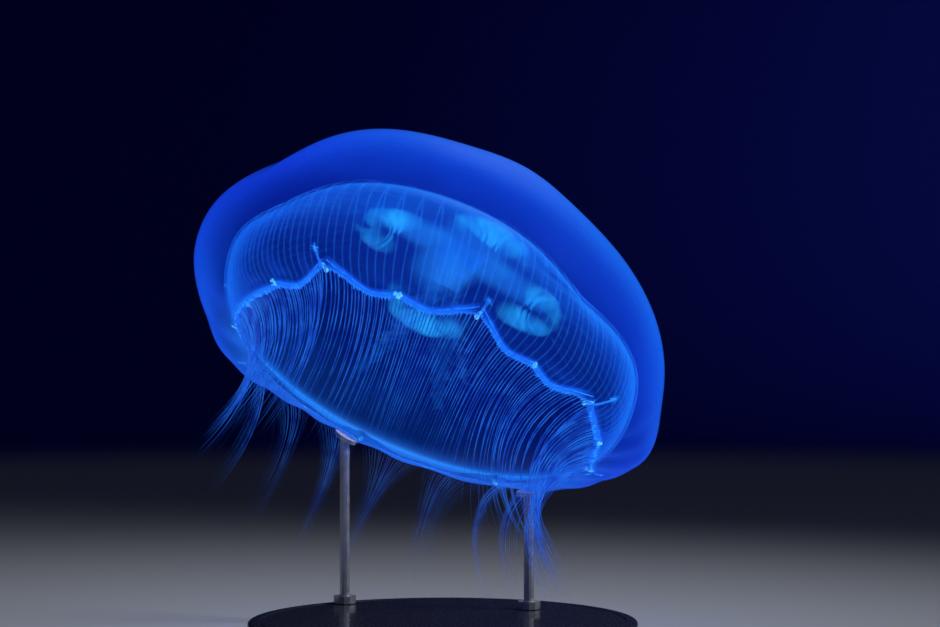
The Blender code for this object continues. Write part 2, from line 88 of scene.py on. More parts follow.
class Side(Enum):
    """The two faces of the bell's wall."""

    OUTER = "outer"
    INNER = "inner"


# ---------------------------------------------------------------------------------------------
# Node trees
# ---------------------------------------------------------------------------------------------


class Graph:
    """Adds and links the nodes of one node tree."""

    def __init__(self, tree: Tree) -> None:
        """Takes the tree to work on."""
        self.tree = tree

    def feed(self, socket: Socket, value: object) -> None:
        """Feeds an input from an output socket, or sets its own value.

        Args:
            socket: The input.
            value: The output socket or the value.
        """
        if isinstance(value, Socket):
            self.tree.links.new(value, socket)
        else:
            socket.default_value = value

    def add(self, kind: str, values: dict | None = None, **settings: object) -> bpy.types.Node:
        """Adds a node, sets it and feeds its inputs.

        Args:
            kind: The node's type name.
            values: Input name or number to a value or an output socket.
            settings: Properties of the node itself.

        Returns:
            The new node.
        """
        node = self.tree.nodes.new(kind)
        for name, value in settings.items():
            setattr(node, name, value)
        for key, value in (values or {}).items():
            self.feed(node.inputs[key], value)
        return node

    def out(self, kind: str, values: dict | None = None, **settings: object) -> Socket:
        """Adds a node in the way of add and returns its first output."""
        return self.add(kind, values, **settings).outputs[0]

    def math(self, operation: str, *values: object) -> Socket:
        """Returns what a Math node makes of two or three values or sockets."""
        return self.out("ShaderNodeMath", dict(enumerate(values)), operation=operation)

    def ramp(self, value: Socket, low: object, high: object, to: Pair = (0.0, 1.0)) -> Socket:
        """Maps a value smoothly from one range to another.

        Args:
            value: The socket to map.
            low: The value that gives the first result.
            high: The value that gives the second result.
            to: The two results.

        Returns:
            The mapped value's socket.
        """
        numbers = {"Value": value, "From Min": low, "From Max": high, "To Min": to[0], "To Max": to[1]}
        return self.add("ShaderNodeMapRange", numbers, interpolation_type="SMOOTHSTEP").outputs["Result"]

    def between(self, share: object, first: object, second: object) -> Socket:
        """Returns a mix of two values, by the second one's share."""
        return self.out("ShaderNodeMix", {0: share, 2: first, 3: second}, data_type="FLOAT")

    def blend(self, share: object, first: object, second: object) -> Socket:
        """Mixes two colours.

        Args:
            share: The second colour's share, a value or a socket.
            first: The first colour or socket.
            second: The second colour or socket.

        Returns:
            The mixed colour's socket.
        """
        node = self.add("ShaderNodeMix", {"Factor": share}, data_type="RGBA")
        for number, value in ((6, first), (7, second)):
            self.feed(node.inputs[number], value if isinstance(value, Socket) else (*value, 1.0))
        return node.outputs[2]


def add_sockets(tree: Tree, way: str, sockets: dict[str, tuple]) -> None:
    """Adds named sockets to a node group's interface.

    Args:
        tree: The node group.
        way: INPUT or OUTPUT.
        sockets: Socket name to its kind, and after that its own value where it has one.
    """
    for name, (kind, *own) in sockets.items():
        socket = tree.interface.new_socket(name, in_out=way, socket_type=f"NodeSocket{kind}")
        if own:
            socket.default_value = own[0]


class ShaderGroups:
    """The node groups that the materials share, each built once."""

    def __init__(self) -> None:
        """Builds both groups."""
        self.cloud = self._cloud()
        self.relief = self._relief()

    @staticmethod
    def _start(name: str, inputs: dict[str, tuple], outputs: dict[str, tuple]) -> Graph:
        """Starts a group.

        Args:
            name: The group's name.
            inputs: Its inputs.
            outputs: Its outputs.

        Returns:
            The graph of the empty group.
        """
        tree = bpy.data.node_groups.new(name, "ShaderNodeTree")
        add_sockets(tree, "INPUT", inputs)
        add_sockets(tree, "OUTPUT", outputs)
        return Graph(tree)

    def _cloud(self) -> Tree:
        """Builds the group that clouds one colour with another.

        Returns:
            The node group.
        """
        inputs = {"Vector": ("Vector",), "Scale": ("Float", 60.0), "Deep": ("Color",), "Pale": ("Color",)}
        inputs |= {"Low": ("Float", 0.38), "High": ("Float", 0.62)}
        graph = self._start("clouded_tint", inputs, {"Colour": ("Color",), "Mask": ("Float",)})
        inside = graph.add("NodeGroupInput").outputs
        values = {"Vector": inside["Vector"], "Scale": inside["Scale"]}
        noise = graph.add("ShaderNodeTexNoise", values | CLOUD_NOISE).outputs["Fac"]
        mask = graph.ramp(noise, inside["Low"], inside["High"])
        colour = graph.blend(mask, inside["Deep"], inside["Pale"])
        graph.add("NodeGroupOutput", {"Colour": colour, "Mask": mask})
        return graph.tree

    def _relief(self) -> Tree:
        """Builds the group that makes a fine wet relief.

        Returns:
            The node group.
        """
        inputs = {"Vector": ("Vector",), "Scale": ("Float", 400.0), "Depth": ("Float", 0.0002)}
        graph = self._start("wet_relief", inputs | {"Strength": ("Float", 0.3)}, {"Normal": ("Vector",)})
        inside = graph.add("NodeGroupInput").outputs
        place = {"Vector": inside["Vector"], "Scale": inside["Scale"]}
        broad = graph.add("ShaderNodeTexNoise", place | {"Detail": 2.0}).outputs["Fac"]
        fine_place = place | {"Scale": graph.math("MULTIPLY", inside["Scale"], FINE_RELIEF[0])}
        fine = graph.add("ShaderNodeTexVoronoi", fine_place).outputs["Distance"]
        height = graph.math("MULTIPLY_ADD", fine, FINE_RELIEF[1], broad)
        bump = {"Height": height, "Distance": inside["Depth"], "Strength": inside["Strength"]}
        graph.add("NodeGroupOutput", {"Normal": graph.add("ShaderNodeBump", bump).outputs["Normal"]})
        return graph.tree


class MaterialMaker:
    """Starts one material: its tree, its Object coordinates and the shared groups."""

    def __init__(self, name: str, groups: ShaderGroups) -> None:
        """Makes an empty material.

        Args:
            name: The material's name.
            groups: The shared node groups.
        """
        self.material = bpy.data.materials.new(name)
        self.material.use_nodes = True
        self.material.cycles.emission_sampling = "NONE"
        self.material.node_tree.nodes.clear()
        self.graph = Graph(self.material.node_tree)
        self.groups = groups
        self.place = self.graph.add("ShaderNodeTexCoord").outputs["Object"]
        self.output = self.graph.add("ShaderNodeOutputMaterial")

    def cloud(self, scale: float, deep: Colour, pale: Colour, band: Pair) -> bpy.types.Node:
        """Places the clouded tint group.

        Args:
            scale: How fine the clouds are, per metre.
            deep: The colour outside the clouds.
            pale: The colour of the clouds.
            band: The noise values where the clouds start and where they are full.

        Returns:
            The group's node.
        """
        values = {"Vector": self.place, "Scale": scale, "Deep": (*deep, 1.0), "Pale": (*pale, 1.0)}
        values |= {"Low": band[0], "High": band[1]}
        return self.graph.add("ShaderNodeGroup", values, node_tree=self.groups.cloud)

    def relief(self, scale: float, depth: float, strength: float) -> Socket:
        """Places the wet relief group.

        Args:
            scale: How fine the relief is, per metre.
            depth: Its height in metres.
            strength: Its share, from 0 to 1.

        Returns:
            The normal's socket.
        """
        values = {"Vector": self.place, "Scale": scale, "Depth": depth, "Strength": strength}
        return self.graph.add("ShaderNodeGroup", values, node_tree=self.groups.relief).outputs["Normal"]

    def attribute(self, name: str) -> Socket:
        """Returns the value of a mesh attribute."""
        return self.graph.add("ShaderNodeAttribute", attribute_name=name).outputs["Fac"]

    def facing(self) -> Socket:
        """Returns 0 where a surface faces the eye and 1 where it is edge on."""
        return self.graph.add("ShaderNodeLayerWeight", {"Blend": 0.5}).outputs["Facing"]

    def outside_only(self, share: Socket) -> Socket:
        """Returns a share, set to 0 where a face is seen from behind."""
        behind = self.graph.add("ShaderNodeNewGeometry").outputs["Backfacing"]
        return self.graph.math("MULTIPLY", share, self.graph.math("SUBTRACT", 1.0, behind))

    def body(self, values: dict) -> Socket:
        """Returns a Principled shader with these inputs."""
        return self.graph.out("ShaderNodeBsdfPrincipled", values)

    def mixed(self, share: Socket, first: Socket, second: Socket) -> Socket:
        """Returns a mix of two shaders, by the second one's share."""
        return self.graph.out("ShaderNodeMixShader", {0: share, 1: first, 2: second})

    def veil(self, share: Socket, body: Socket) -> Socket:
        """Returns a shader that covers only its share, and is clear for the rest."""
        return self.mixed(share, self.graph.out("ShaderNodeBsdfTransparent"), body)

    def finish(self, surface: Socket, volume: Socket | None = None) -> Material:
        """Feeds the output.

        Args:
            surface: The surface shader's socket.
            volume: The volume shader's socket, if any.

        Returns:
            The finished material.
        """
        self.graph.feed(self.output.inputs["Surface"], surface)
        if volume is not None:
            self.graph.feed(self.output.inputs["Volume"], volume)
        return self.material


# ---------------------------------------------------------------------------------------------
# Finishes
# ---------------------------------------------------------------------------------------------


@dataclass(frozen=True)
class SkinLayer:
    """How milky one face of the bell's wall is, straight on and where it turns away. The milk carries the
    painted glow, so where a face turns away it shows a painted limb brightening, in its own painted limb
    tint.
    """

    milk: float
    painted_limb_share: float
    turns: Pair
    fades: Pair
    painted_limb_tint: Colour


@dataclass(frozen=True)
class JellyFinish:
    """Clear blue jelly under a thin milky skin on each face, with a painted glow: the skins and the jelly's
    depth give off blue light that stands in for light scattered in the jelly.
    """

    # deep and pale: the clouded colours of the skins' painted glow.
    deep: Colour = (0.004, 0.020, 0.590)
    pale: Colour = (0.006, 0.048, 0.740)
    cloud_scale: float = 28.0
    cloud_band: Pair = (0.40, 0.72)
    cloud: float = 0.03
    # Each face's milk and tint rise where it turns away from the eye: a painted limb brightening of the
    # glow.
    outer: SkinLayer = SkinLayer(0.045, 0.55, (0.34, 0.90), (1.5, 2.0), (0.006, 0.030, 0.760))
    inner: SkinLayer = SkinLayer(0.045, 0.48, (0.45, 0.86), (0.80, 1.0), (0.008, 0.130, 0.820))
    # edge and rim: colour and extra milk of the painted bright rim, a painted glow along the lip and a
    # painted bright band above the margin at the back.
    edge: Colour = (0.010, 0.150, 0.800)
    rim: float = 0.62
    most: float = 0.92
    body: Colour = (0.015, 0.360, 0.750)
    # Emission strength of the skins' milk: a painted glow in place of light scattered in the jelly.
    painted_glow: float = 0.85
    roughness: float = 0.45
    shine: float = 0.05
    relief: Triple = (120.0, 0.0004, 0.25)
    refraction: float = 1.03
    gloss: Colour = (0.03, 0.14, 0.60)
    gloss_roughness: float = 0.25
    # Painted glow that fills the jelly's depth, brighter where the view crosses more jelly.
    painted_depth_glow: Colour = (0.004, 0.034, 1.0)
    painted_depth_strength: float = 1.8

    def build(self, groups: ShaderGroups) -> Material:
        """Makes the material.

        Args:
            groups: The shared node groups.

        Returns:
            The material.
        """
        make = MaterialMaker("jelly_skin", groups)
        graph, facing = make.graph, make.facing()
        cloud = make.cloud(self.cloud_scale, self.deep, self.pale, self.cloud_band).outputs
        rim, inside = make.attribute("rim"), make.attribute("inner")
        shares, tints = [], []
        # For each face, the glowing milk and its colour rise towards the silhouette: painted limb
        # brightening and painted limb tint.
        for layer in (self.outer, self.inner):
            rise = graph.ramp(facing, *layer.turns, (0.0, layer.painted_limb_share))
            fall = graph.ramp(facing, *layer.fades, (1.0, 0.0))
            shares.append(graph.math("MULTIPLY_ADD", rise, fall, layer.milk))
            tints.append(graph.blend(graph.ramp(facing, *layer.turns), cloud["Colour"], layer.painted_limb_tint))
        share = graph.math("MULTIPLY_ADD", cloud["Mask"], self.cloud, graph.between(inside, *shares))
        # Painted bright rim: more glowing milk, in the edge colour, where the skin's rim attribute is high.
        share = graph.math("MINIMUM", graph.math("MULTIPLY_ADD", rim, self.rim, share), self.most)
        colour = graph.blend(rim, graph.blend(inside, *tints), self.edge)
        normal = make.relief(*self.relief)
        look = {"Base Color": (*self.body, 1.0), "Roughness": self.roughness, "Normal": normal}
        # The skins' emission is painted glow, coloured by the clouds, the painted limb tints and the painted
        # bright rim.
        look |= {"Specular IOR Level": self.shine, "Emission Color": colour, "Emission Strength": self.painted_glow}
        gloss = {"Color": (*self.gloss, 1.0), "Roughness": self.gloss_roughness, "Normal": normal}
        mirror = graph.out("ShaderNodeFresnel", {"IOR": self.refraction, "Normal": normal})
        skin = make.veil(share, make.body(look))
        wet = make.mixed(make.outside_only(mirror), skin, graph.out("ShaderNodeBsdfGlossy", gloss))
        # Volume emission: painted glow in the jelly's depth, in place of scattered light.
        depth = {"Color": (*self.painted_depth_glow, 1.0), "Strength": self.painted_depth_strength}
        return make.finish(wet, graph.out("ShaderNodeEmission", depth))


@dataclass(frozen=True)
class TissueFinish:
    """Milky tissue with its own clouds and a faint painted glow in place of light scattered in it, thinner
    where it turns away.
    """

    name: str
    deep: Colour
    pale: Colour
    cloud_scale: float = 160.0
    cloud_band: Pair = (0.36, 0.66)
    relief: Triple = (500.0, 0.0003, 0.5)
    roughness: float = 0.45
    body_share: float = 0.80
    # Emission strength: a painted glow in place of light scattered in the tissue.
    painted_glow: float = 0.90
    shine: float = 0.25
    thins: Pair = (0.3, 1.0)
    fade_along: Pair | None = None
    one_sided: bool = False

    def build(self, groups: ShaderGroups) -> Material:
        """Makes the material.

        Args:
            groups: The shared node groups.

        Returns:
            The material.
        """
        make = MaterialMaker(self.name, groups)
        graph = make.graph
        colour = make.cloud(self.cloud_scale, self.deep, self.pale, self.cloud_band).outputs["Colour"]
        look = {"Base Color": colour, "Roughness": self.roughness, "Normal": make.relief(*self.relief)}
        # The tissue's emission is painted glow in its clouded colour.
        look |= {"Specular IOR Level": self.shine, "Emission Color": colour, "Emission Strength": self.painted_glow}
        share = graph.ramp(make.facing(), *self.thins, (self.body_share, 0.0))
        if self.fade_along:
            along = graph.ramp(make.attribute("along"), *self.fade_along, (1.0, 0.0))
            share = graph.math("MULTIPLY", share, along)
        if self.one_sided:
            share = make.outside_only(graph.math("MULTIPLY", share, make.attribute("outward")))
        return make.finish(make.veil(share, make.body(look)))


@dataclass(frozen=True)
class SolidFinish:
    """An opaque finish of the stand, with a fine grain in its colour and roughness."""

    name: str
    deep: Colour
    pale: Colour
    grain_scale: float
    roughness: Pair
    metallic: float = 0.0
    coat: float = 0.0
    coat_roughness: float = 0.05
    cloud_band: Pair = (0.35, 0.65)
    relief: Pair = (0.00005, 0.4)

    def build(self, groups: ShaderGroups) -> Material:
        """Makes the material.

        Args:
            groups: The shared node groups.

        Returns:
            The material.
        """
        make = MaterialMaker(self.name, groups)
        cloud = make.cloud(self.grain_scale, self.deep, self.pale, self.cloud_band).outputs
        look = {"Base Color": cloud["Colour"], "Metallic": self.metallic, "Coat Weight": self.coat}
        look["Roughness"] = make.graph.ramp(cloud["Mask"], 0.0, 1.0, self.roughness)
        look["Coat Roughness"] = self.coat_roughness
        look["Normal"] = make.relief(2 * self.grain_scale, *self.relief)
        return make.finish(make.body(look))


# ---------------------------------------------------------------------------------------------
# The animal's form
# ---------------------------------------------------------------------------------------------


@dataclass(frozen=True)
class Bank:
    """Where the animal floats and how it leans."""

    mouth_centre: Triple = (-0.010, -0.026, 0.099)
    back: float = math.radians(25)
    right: float = math.radians(22)

    def turn(self) -> Array:
        """Returns the 3 by 3 matrix from the animal's frame to the world's."""
        return np.array(Euler((-self.back, self.right, 0)).to_matrix())

    def place(self, points: Array) -> Array:
        """Returns points of the animal's frame, turned and moved into the world's frame."""
        return points @ self.turn().T + np.array(self.mouth_centre)

    def direction(self, world: Triple) -> Array:
        """Returns a direction of the world's frame, as a unit vector of the animal's frame."""
        return unit(np.array(world)) @ self.turn()


def unit(vectors: Array) -> Array:
    """Returns vectors scaled to length 1."""
    return vectors / np.maximum(np.linalg.norm(vectors, axis=-1, keepdims=True), 1e-12)


def smooth_step(low: float, high: float, value: Array) -> Array:
    """Returns 0 below low, 1 above high, and an eased value between them."""
    share = np.clip((np.asarray(value, float) - low) / (high - low), 0, 1)
    return share * share * (3 - 2 * share)


def polar(radius: Array | float, angle: Array | float, height: Array | float) -> Array:
    """Returns the points at these radii, angles and heights."""
    radius, angle, height = np.broadcast_arrays(radius, angle, height)
    return np.stack([radius * np.cos(angle), radius * np.sin(angle), height], -1)


@dataclass(frozen=True)
class Fold:
    """A place where the stroke presses the wall in, or lets it bulge where the depth is less than 0."""

    degrees: float
    radius: float
    height: float
    depth: float
    width: float

    def share(self, points: Array) -> Array:
        """Returns how fully each point is in the fold, from 0 to 1."""
        middle = polar(self.radius, math.radians(self.degrees), self.height)
        return np.exp(-((points - middle) ** 2).sum(-1) / (2 * self.width**2))


SHOULDER_FOLD = Fold(206, 0.086, 0.048, 0.0087, 0.025)
LEFT_FLANK = Fold(139, 0.088, 0.011, -0.0062, 0.016)
CROWN = Fold(287, 0.067, 0.066, -0.0024, 0.013)
RIGHT_FOLD = Fold(356, 0.093, 0.037, 0.0045, 0.028)
RIGHT_FOOT = Fold(4, 0.090, 0.011, -0.0033, 0.012)
RIGHT_VAULT = Fold(316, 0.070, 0.036, 0.0080, 0.018)


@dataclass(frozen=True)
class LevelSpan:
    """A span of the margin where the stroke draws the scallops level. Its angles are in degrees."""

    middle: float
    half: float
    share: float
    level: float

    def nearness(self, angle: Array) -> Array:
        """Returns 1 round the span's middle and 0 past its half width."""
        away = np.abs((np.degrees(angle) - self.middle + 180) % 360 - 180)
        return smooth_step(self.half, 0.4 * self.half, away)


@dataclass(frozen=True)
class BellForm:
    """The sizes of the bell's wall and the bend that the swimming stroke gives it."""

    radius: float = 0.0945
    widest: float = 0.024
    apex: float = 0.080
    cavity_radius: float = 0.081
    roof: float = 0.056
    edge: Pair = (0.0715, 0.0005)
    edge_inside: Pair = (0.0710, 0.0027)
    rim_centre: float = 0.066
    squareness: float = 2.3
    lean: float = -0.014
    lean_power: float = 1.3
    outer_folds: tuple[Fold, ...] = (SHOULDER_FOLD, LEFT_FLANK, CROWN, RIGHT_FOLD, RIGHT_FOOT)
    inner_folds: tuple[Fold, ...] = (SHOULDER_FOLD, RIGHT_VAULT)
    fold_fade_radius: float = 0.083
    rim_tilt: float = 0.0015
    rim_tilt_angle: float = math.radians(25)
    lobes: int = 8
    first_notch: float = math.radians(9.5)
    notch_level: float = -0.0056
    tip_at: float = 0.62
    flank: float = 1.6
    scallop_tip: Pair = (0.0665, -0.0015)
    scallop_cusp: Pair = (0.0681, 0.0002)
    level_spans: tuple[LevelSpan, ...] = (
        LevelSpan(347, 30, 0.75, -0.0015),
        LevelSpan(196, 17, 0.90, 0.0040),
        LevelSpan(168, 18, 0.80, -0.0010),
    )
    tip_thickness: float = 0.0011

    @property
    def pitch(self) -> float:
        """Returns the angle from one notch to the next."""
        return TAU / self.lobes

    def notches(self) -> Array:
        """Returns the angle of each notch."""
        return self.first_notch + np.arange(self.lobes) * self.pitch

    def _rim(self, half: float, end: Pair, share: Array) -> Array:
        """Returns (radius, height) on a rounded rim, from the widest level to its end.

        Args:
            half: The rim's half width.
            end: The radius and height of its end.
            share: 0 at the widest level and 1 at the end.

        Returns:
            An array whose last axis is radius, height.
        """
        power = 2 / self.squareness
        last = math.acos(((end[0] - self.rim_centre) / half) ** (1 / power))
        depth = (self.widest - end[1]) / math.sin(last) ** power
        angle = np.clip(share, 0, 1) * last
        radius = self.rim_centre + half * np.cos(angle) ** power
        return np.stack([radius, self.widest - depth * np.sin(angle) ** power], -1)

    def _dome(self, radius: float, top: float, share: Array) -> Array:
        """Returns (radius, height) on a dome, from its top at 0 to the widest level at 1."""
        angle = (1 - np.clip(share, 0, 1)) * math.pi / 2
        return np.stack([radius * np.cos(angle), self.widest + (top - self.widest) * np.sin(angle)], -1)

    def profile(self, side: Side, share: Array) -> Array:
        """Returns (radius, height) down one face: 0 at the top, 1 at the widest level, 2 at the edge.

        Args:
            side: The wall's face.
            share: The shares to read.

        Returns:
            An array whose last axis is radius, height.
        """
        outer = side is Side.OUTER
        radius, top = (self.radius, self.apex) if outer else (self.cavity_radius, self.roof)
        rim = self._rim(radius - self.rim_centre, self.edge if outer else self.edge_inside, share - 1)
        return np.where((share <= 1)[..., None], self._dome(radius, top, share), rim)

    def bent(self, points: Array, side: Side) -> Array:
        """Bends points of the round bell as the stroke does.

        Args:
            points: Points of the animal's frame.
            side: The face whose folds reach them.

        Returns:
            The bent points.
        """
        outward = unit(points - UP * self.widest)
        ring = np.hypot(points[..., 0], points[..., 1])
        near_edge = smooth_step(self.edge[0], self.fold_fade_radius, ring)
        near_edge = np.where(points[..., 2] < self.widest, near_edge, 1.0)
        moved = points.copy()
        for fold in self.outer_folds if side is Side.OUTER else self.inner_folds:
            moved -= outward * (fold.depth * fold.share(points) * near_edge)[..., None]
        moved[..., 0] += self.lean * np.maximum(0, points[..., 2] / self.apex) ** self.lean_power
        low = 1 - smooth_step(0.0, self.widest, points[..., 2])
        around = np.arctan2(points[..., 1], points[..., 0])
        moved[..., 2] -= self.rim_tilt * (1 + np.cos(around - self.rim_tilt_angle)) * low
        return moved

    def flap_length(self) -> float:
        """Returns the length of the margin's flap at a scallop's tip."""
        return math.dist(self.scallop_tip, self.edge)

    def smoothness(self, angle: Array) -> Array:
        """Returns how far the stroke has drawn the scallops level, 0 where not at all and 1 where fully."""
        return sum(span.share * span.nearness(angle) for span in self.level_spans)

    def reach(self, angle: Array) -> Array:
        """Returns how far the margin reaches past the bell's edge, less than 0 in a notch.

        Args:
            angle: Angles round the bell.

        Returns:
            Lengths along the wall.
        """
        cusp, tip = math.dist(self.scallop_cusp, self.edge), self.flap_length()
        offset = (np.asarray(angle) - self.first_notch + self.pitch / 2) % self.pitch - self.pitch / 2
        away = np.abs(offset) * self.lobes / math.pi
        rise = 1 - (1 - np.minimum(away / self.tip_at, 1)) ** self.flank
        fall = np.maximum(0, (away - self.tip_at) / (1 - self.tip_at)) ** self.flank
        length = self.notch_level + (tip - self.notch_level) * rise + (cusp - tip) * fall
        for span in self.level_spans:
            length = length + (span.level - length) * span.share * span.nearness(angle)
        return length

    def wall_line(self, side: Side) -> tuple[Array, Array]:
        """Returns one face as a fine line: lengths from the edge, and (radius, height) at each.

        Args:
            side: The wall's face.

        Returns:
            The lengths, less than 0 up the wall, and the places.
        """
        wall = self.profile(side, np.linspace(0, 2, LINE_POINTS[0]))
        steps = np.linalg.norm(np.diff(wall, axis=0), axis=1)
        lengths = np.concatenate([[0], np.cumsum(steps)])
        lengths -= lengths[-1]
        tip = np.array(self.scallop_tip)
        middle = (np.array(self.edge) + np.array(self.edge_inside)) / 2
        along = unit(tip - middle)
        across = np.array([-along[1], along[0]])
        across *= math.copysign(1, np.dot(across, np.array(self.edge) - middle))
        across *= 1 if side is Side.OUTER else -1
        share = np.linspace(0, 1, LINE_POINTS[1])[1:]
        flap = wall[-1] + (tip + across * self.tip_thickness / 2 - wall[-1]) * share[:, None]
        return np.concatenate([lengths, share * self.flap_length()]), np.concatenate([wall, flap])

    def wall(self, side: Side, angle: Array, length: Array, sink: float = 0.0) -> Array:
        """Returns points of one face in the animal's frame, bent by the stroke.

        Args:
            side: The wall's face.
            angle: Angles round the bell.
            length: Lengths along the wall from the bell's edge, less than 0 up the wall.
            sink: How far inside the jelly the points lie.

        Returns:
            The points.
        """
        lengths, line = self.wall_line(side)

        def on_line(where: Array) -> Array:
            """Returns (radius, height) at these lengths along the line."""
            return np.stack([np.interp(where, lengths, line[:, i]) for i in (0, 1)], -1)

        radius, height = np.moveaxis(on_line(length), -1, 0)
        if sink:
            ahead = unit(on_line(length + LINE_STEP) - on_line(length - LINE_STEP))
            turn = sink if side is Side.OUTER else -sink
            radius = radius + ahead[..., 1] * turn
            height = height - ahead[..., 0] * turn
        return self.bent(polar(radius, angle, height), side)

    def wall_length(self, side: Side) -> float:
        """Returns the length of one face from its top to the bell's edge."""
        return float(-self.wall_line(side)[0][0])


# ---------------------------------------------------------------------------------------------
# Meshes
# ---------------------------------------------------------------------------------------------


def mesh_object(name: str, mesh: Mesh, material: Material) -> Object:
    """Links a mesh as a smooth object of the scene.

    Args:
        name: The object's name.
        mesh: Its mesh, already in the world's frame.
        material: Its material.

    Returns:
        The object.
    """
    mesh.name = name
    mesh.materials.clear()
    mesh.materials.append(material)
    mesh.shade_smooth()
    obj = bpy.data.objects.new(name, mesh)
    bpy.context.scene.collection.objects.link(obj)
    return obj


def plain_mesh(carrier: Object) -> Mesh:
    """Deletes an object and keeps its mesh, as the object's modifiers leave it.

    Args:
        carrier: The object.

    Returns:
        A plain mesh.
    """
    bpy.context.view_layer.update()
    graph = bpy.context.evaluated_depsgraph_get()
    mesh = bpy.data.meshes.new_from_object(carrier.evaluated_get(graph), depsgraph=graph)
    base = carrier.data
    bpy.data.objects.remove(carrier, do_unlink=True)
    bpy.data.meshes.remove(base)
    return mesh


def mesh_carrier(mesh: Mesh) -> Object:
    """Links a helper object that carries a mesh through its modifiers.

    Args:
        mesh: The mesh.

    Returns:
        The object.
    """
    carrier = bpy.data.objects.new("carrier", mesh)
    bpy.context.scene.collection.objects.link(carrier)
    return carrier


def thickened(mesh: Mesh, thickness: float) -> Mesh:
    """Makes a sheet solid, with half its thickness on each side.

    Args:
        mesh: The sheet, which is used up.
        thickness: How thick it becomes.

    Returns:
        The solid mesh.
    """
    carrier = mesh_carrier(mesh)
    wall = carrier.modifiers.new("wall", "SOLIDIFY")
    wall.thickness, wall.offset = thickness, 0.0
    return plain_mesh(carrier)


def tidy_mesh(mesh: Mesh) -> Mesh:
    """Merges a mesh's doubles and turns its faces outwards.

    Args:
        mesh: The mesh to change.

    Returns:
        The same mesh.
    """
    work = bmesh.new()
    work.from_mesh(mesh)
    bmesh.ops.remove_doubles(work, verts=work.verts, dist=MERGE_DISTANCE)
    bmesh.ops.recalc_face_normals(work, faces=work.faces)
    work.to_mesh(mesh)
    work.free()
    return mesh


def grid_mesh(rows: Array, wrap: bool = True) -> Mesh:
    """Makes a mesh of quads from rows of points.

    Args:
        rows: An array of rows by columns by x, y, z.
        wrap: True where the last column joins the first.

    Returns:
        The mesh, whose vertices are in the rows' order.
    """
    count, width = rows.shape[:2]
    columns = np.arange(width if wrap else width - 1)
    after = (columns + 1) % width
    faces = []
    for here in range(0, (count - 1) * width, width):
        below = here + width
        faces.extend(zip(here + columns, below + columns, below + after, here + after))
    mesh = bpy.data.meshes.new("grid")
    mesh.from_pydata(rows.reshape(-1, 3).tolist(), [], [tuple(map(int, face)) for face in faces])
    return mesh


def fill_ends(mesh: Mesh, first_only: bool = False) -> Mesh:
    """Closes the round openings of a wrapped grid with fans and turns its faces outwards.

    Args:
        mesh: The mesh to change.
        first_only: True to close the first opening alone and leave the faces as they are.

    Returns:
        The same mesh.
    """
    work = bmesh.new()
    work.from_mesh(mesh)
    work.verts.ensure_lookup_table()
    open_edges = [edge for edge in work.edges if edge.is_boundary]
    if first_only:
        ring = len(open_edges) // 2
        open_edges = [edge for edge in open_edges if min(vert.index for vert in edge.verts) < ring]
    caps = bmesh.ops.holes_fill(work, edges=open_edges, sides=0)["faces"]
    bmesh.ops.poke(work, faces=caps)
    if not first_only:
        bmesh.ops.recalc_face_normals(work, faces=work.faces)
    work.to_mesh(mesh)
    work.free()
    return mesh


def add_attribute(mesh: Mesh, name: str, values: Array, vectors: bool = False) -> None:
    """Stores one value for each vertex.

    Args:
        mesh: The mesh.
        name: The attribute's name.
        values: As many values as the mesh has vertices.
        vectors: True where each value is x, y, z.
    """
    layer = mesh.attributes.new(name, "FLOAT_VECTOR" if vectors else "FLOAT", "POINT")
    flat = np.ascontiguousarray(values, dtype=np.float32).ravel()
    layer.data.foreach_set("vector" if vectors else "value", flat)


def mark_outward(mesh: Mesh, centre: Array, least: float) -> None:
    """Stores how far each vertex faces away from the bell's middle, as "outward".

    Args:
        mesh: The mesh, in the world's frame.
        centre: The bell's middle.
        least: The value where it faces the middle.
    """
    place, normal = np.zeros((2, len(mesh.vertices) * 3), np.float32)
    mesh.vertices.foreach_get("co", place)
    mesh.vertex_normals.foreach_get("vector", normal)
    facing = (unit(place.reshape(-1, 3) - centre) * normal.reshape(-1, 3)).sum(-1)
    add_attribute(mesh, "outward", least + (1 - least) * smooth_step(*OUTWARD_BAND, facing))


def guide_mesh(strands: list[Array], values: dict[str, list[Array]]) -> Mesh:
    """Makes a mesh of open edge chains, one for each strand.

    Args:
        strands: The points of each strand.
        values: For each attribute, one array for each strand.

    Returns:
        The mesh, with the attributes, and "strand" and "along" besides.
    """
    edges, start = [], 0
    for strand in strands:
        edges.extend((start + i, start + i + 1) for i in range(len(strand) - 1))
        start += len(strand)
    mesh = bpy.data.meshes.new("guides")
    mesh.from_pydata(np.concatenate(strands).tolist(), edges, [])
    number = [np.full(len(strand), i, float) for i, strand in enumerate(strands)]
    along = [np.linspace(0, 1, len(strand)) for strand in strands]
    for key, arrays in ({"strand": number, "along": along} | values).items():
        add_attribute(mesh, key, np.concatenate(arrays))
    return mesh


def point_mesh(points: Array, size: Array, lie: Array) -> Mesh:
    """Makes a mesh of loose vertices for the bead tree.

    Args:
        points: Where the beads go.
        size: Each bead's width, depth and length.
        lie: Each bead's long direction.

    Returns:
        The mesh.
    """
    mesh = bpy.data.meshes.new("points")
    mesh.from_pydata(points.tolist(), [], [])
    add_attribute(mesh, "size", size, vectors=True)
    add_attribute(mesh, "lie", lie, vectors=True)
    return mesh


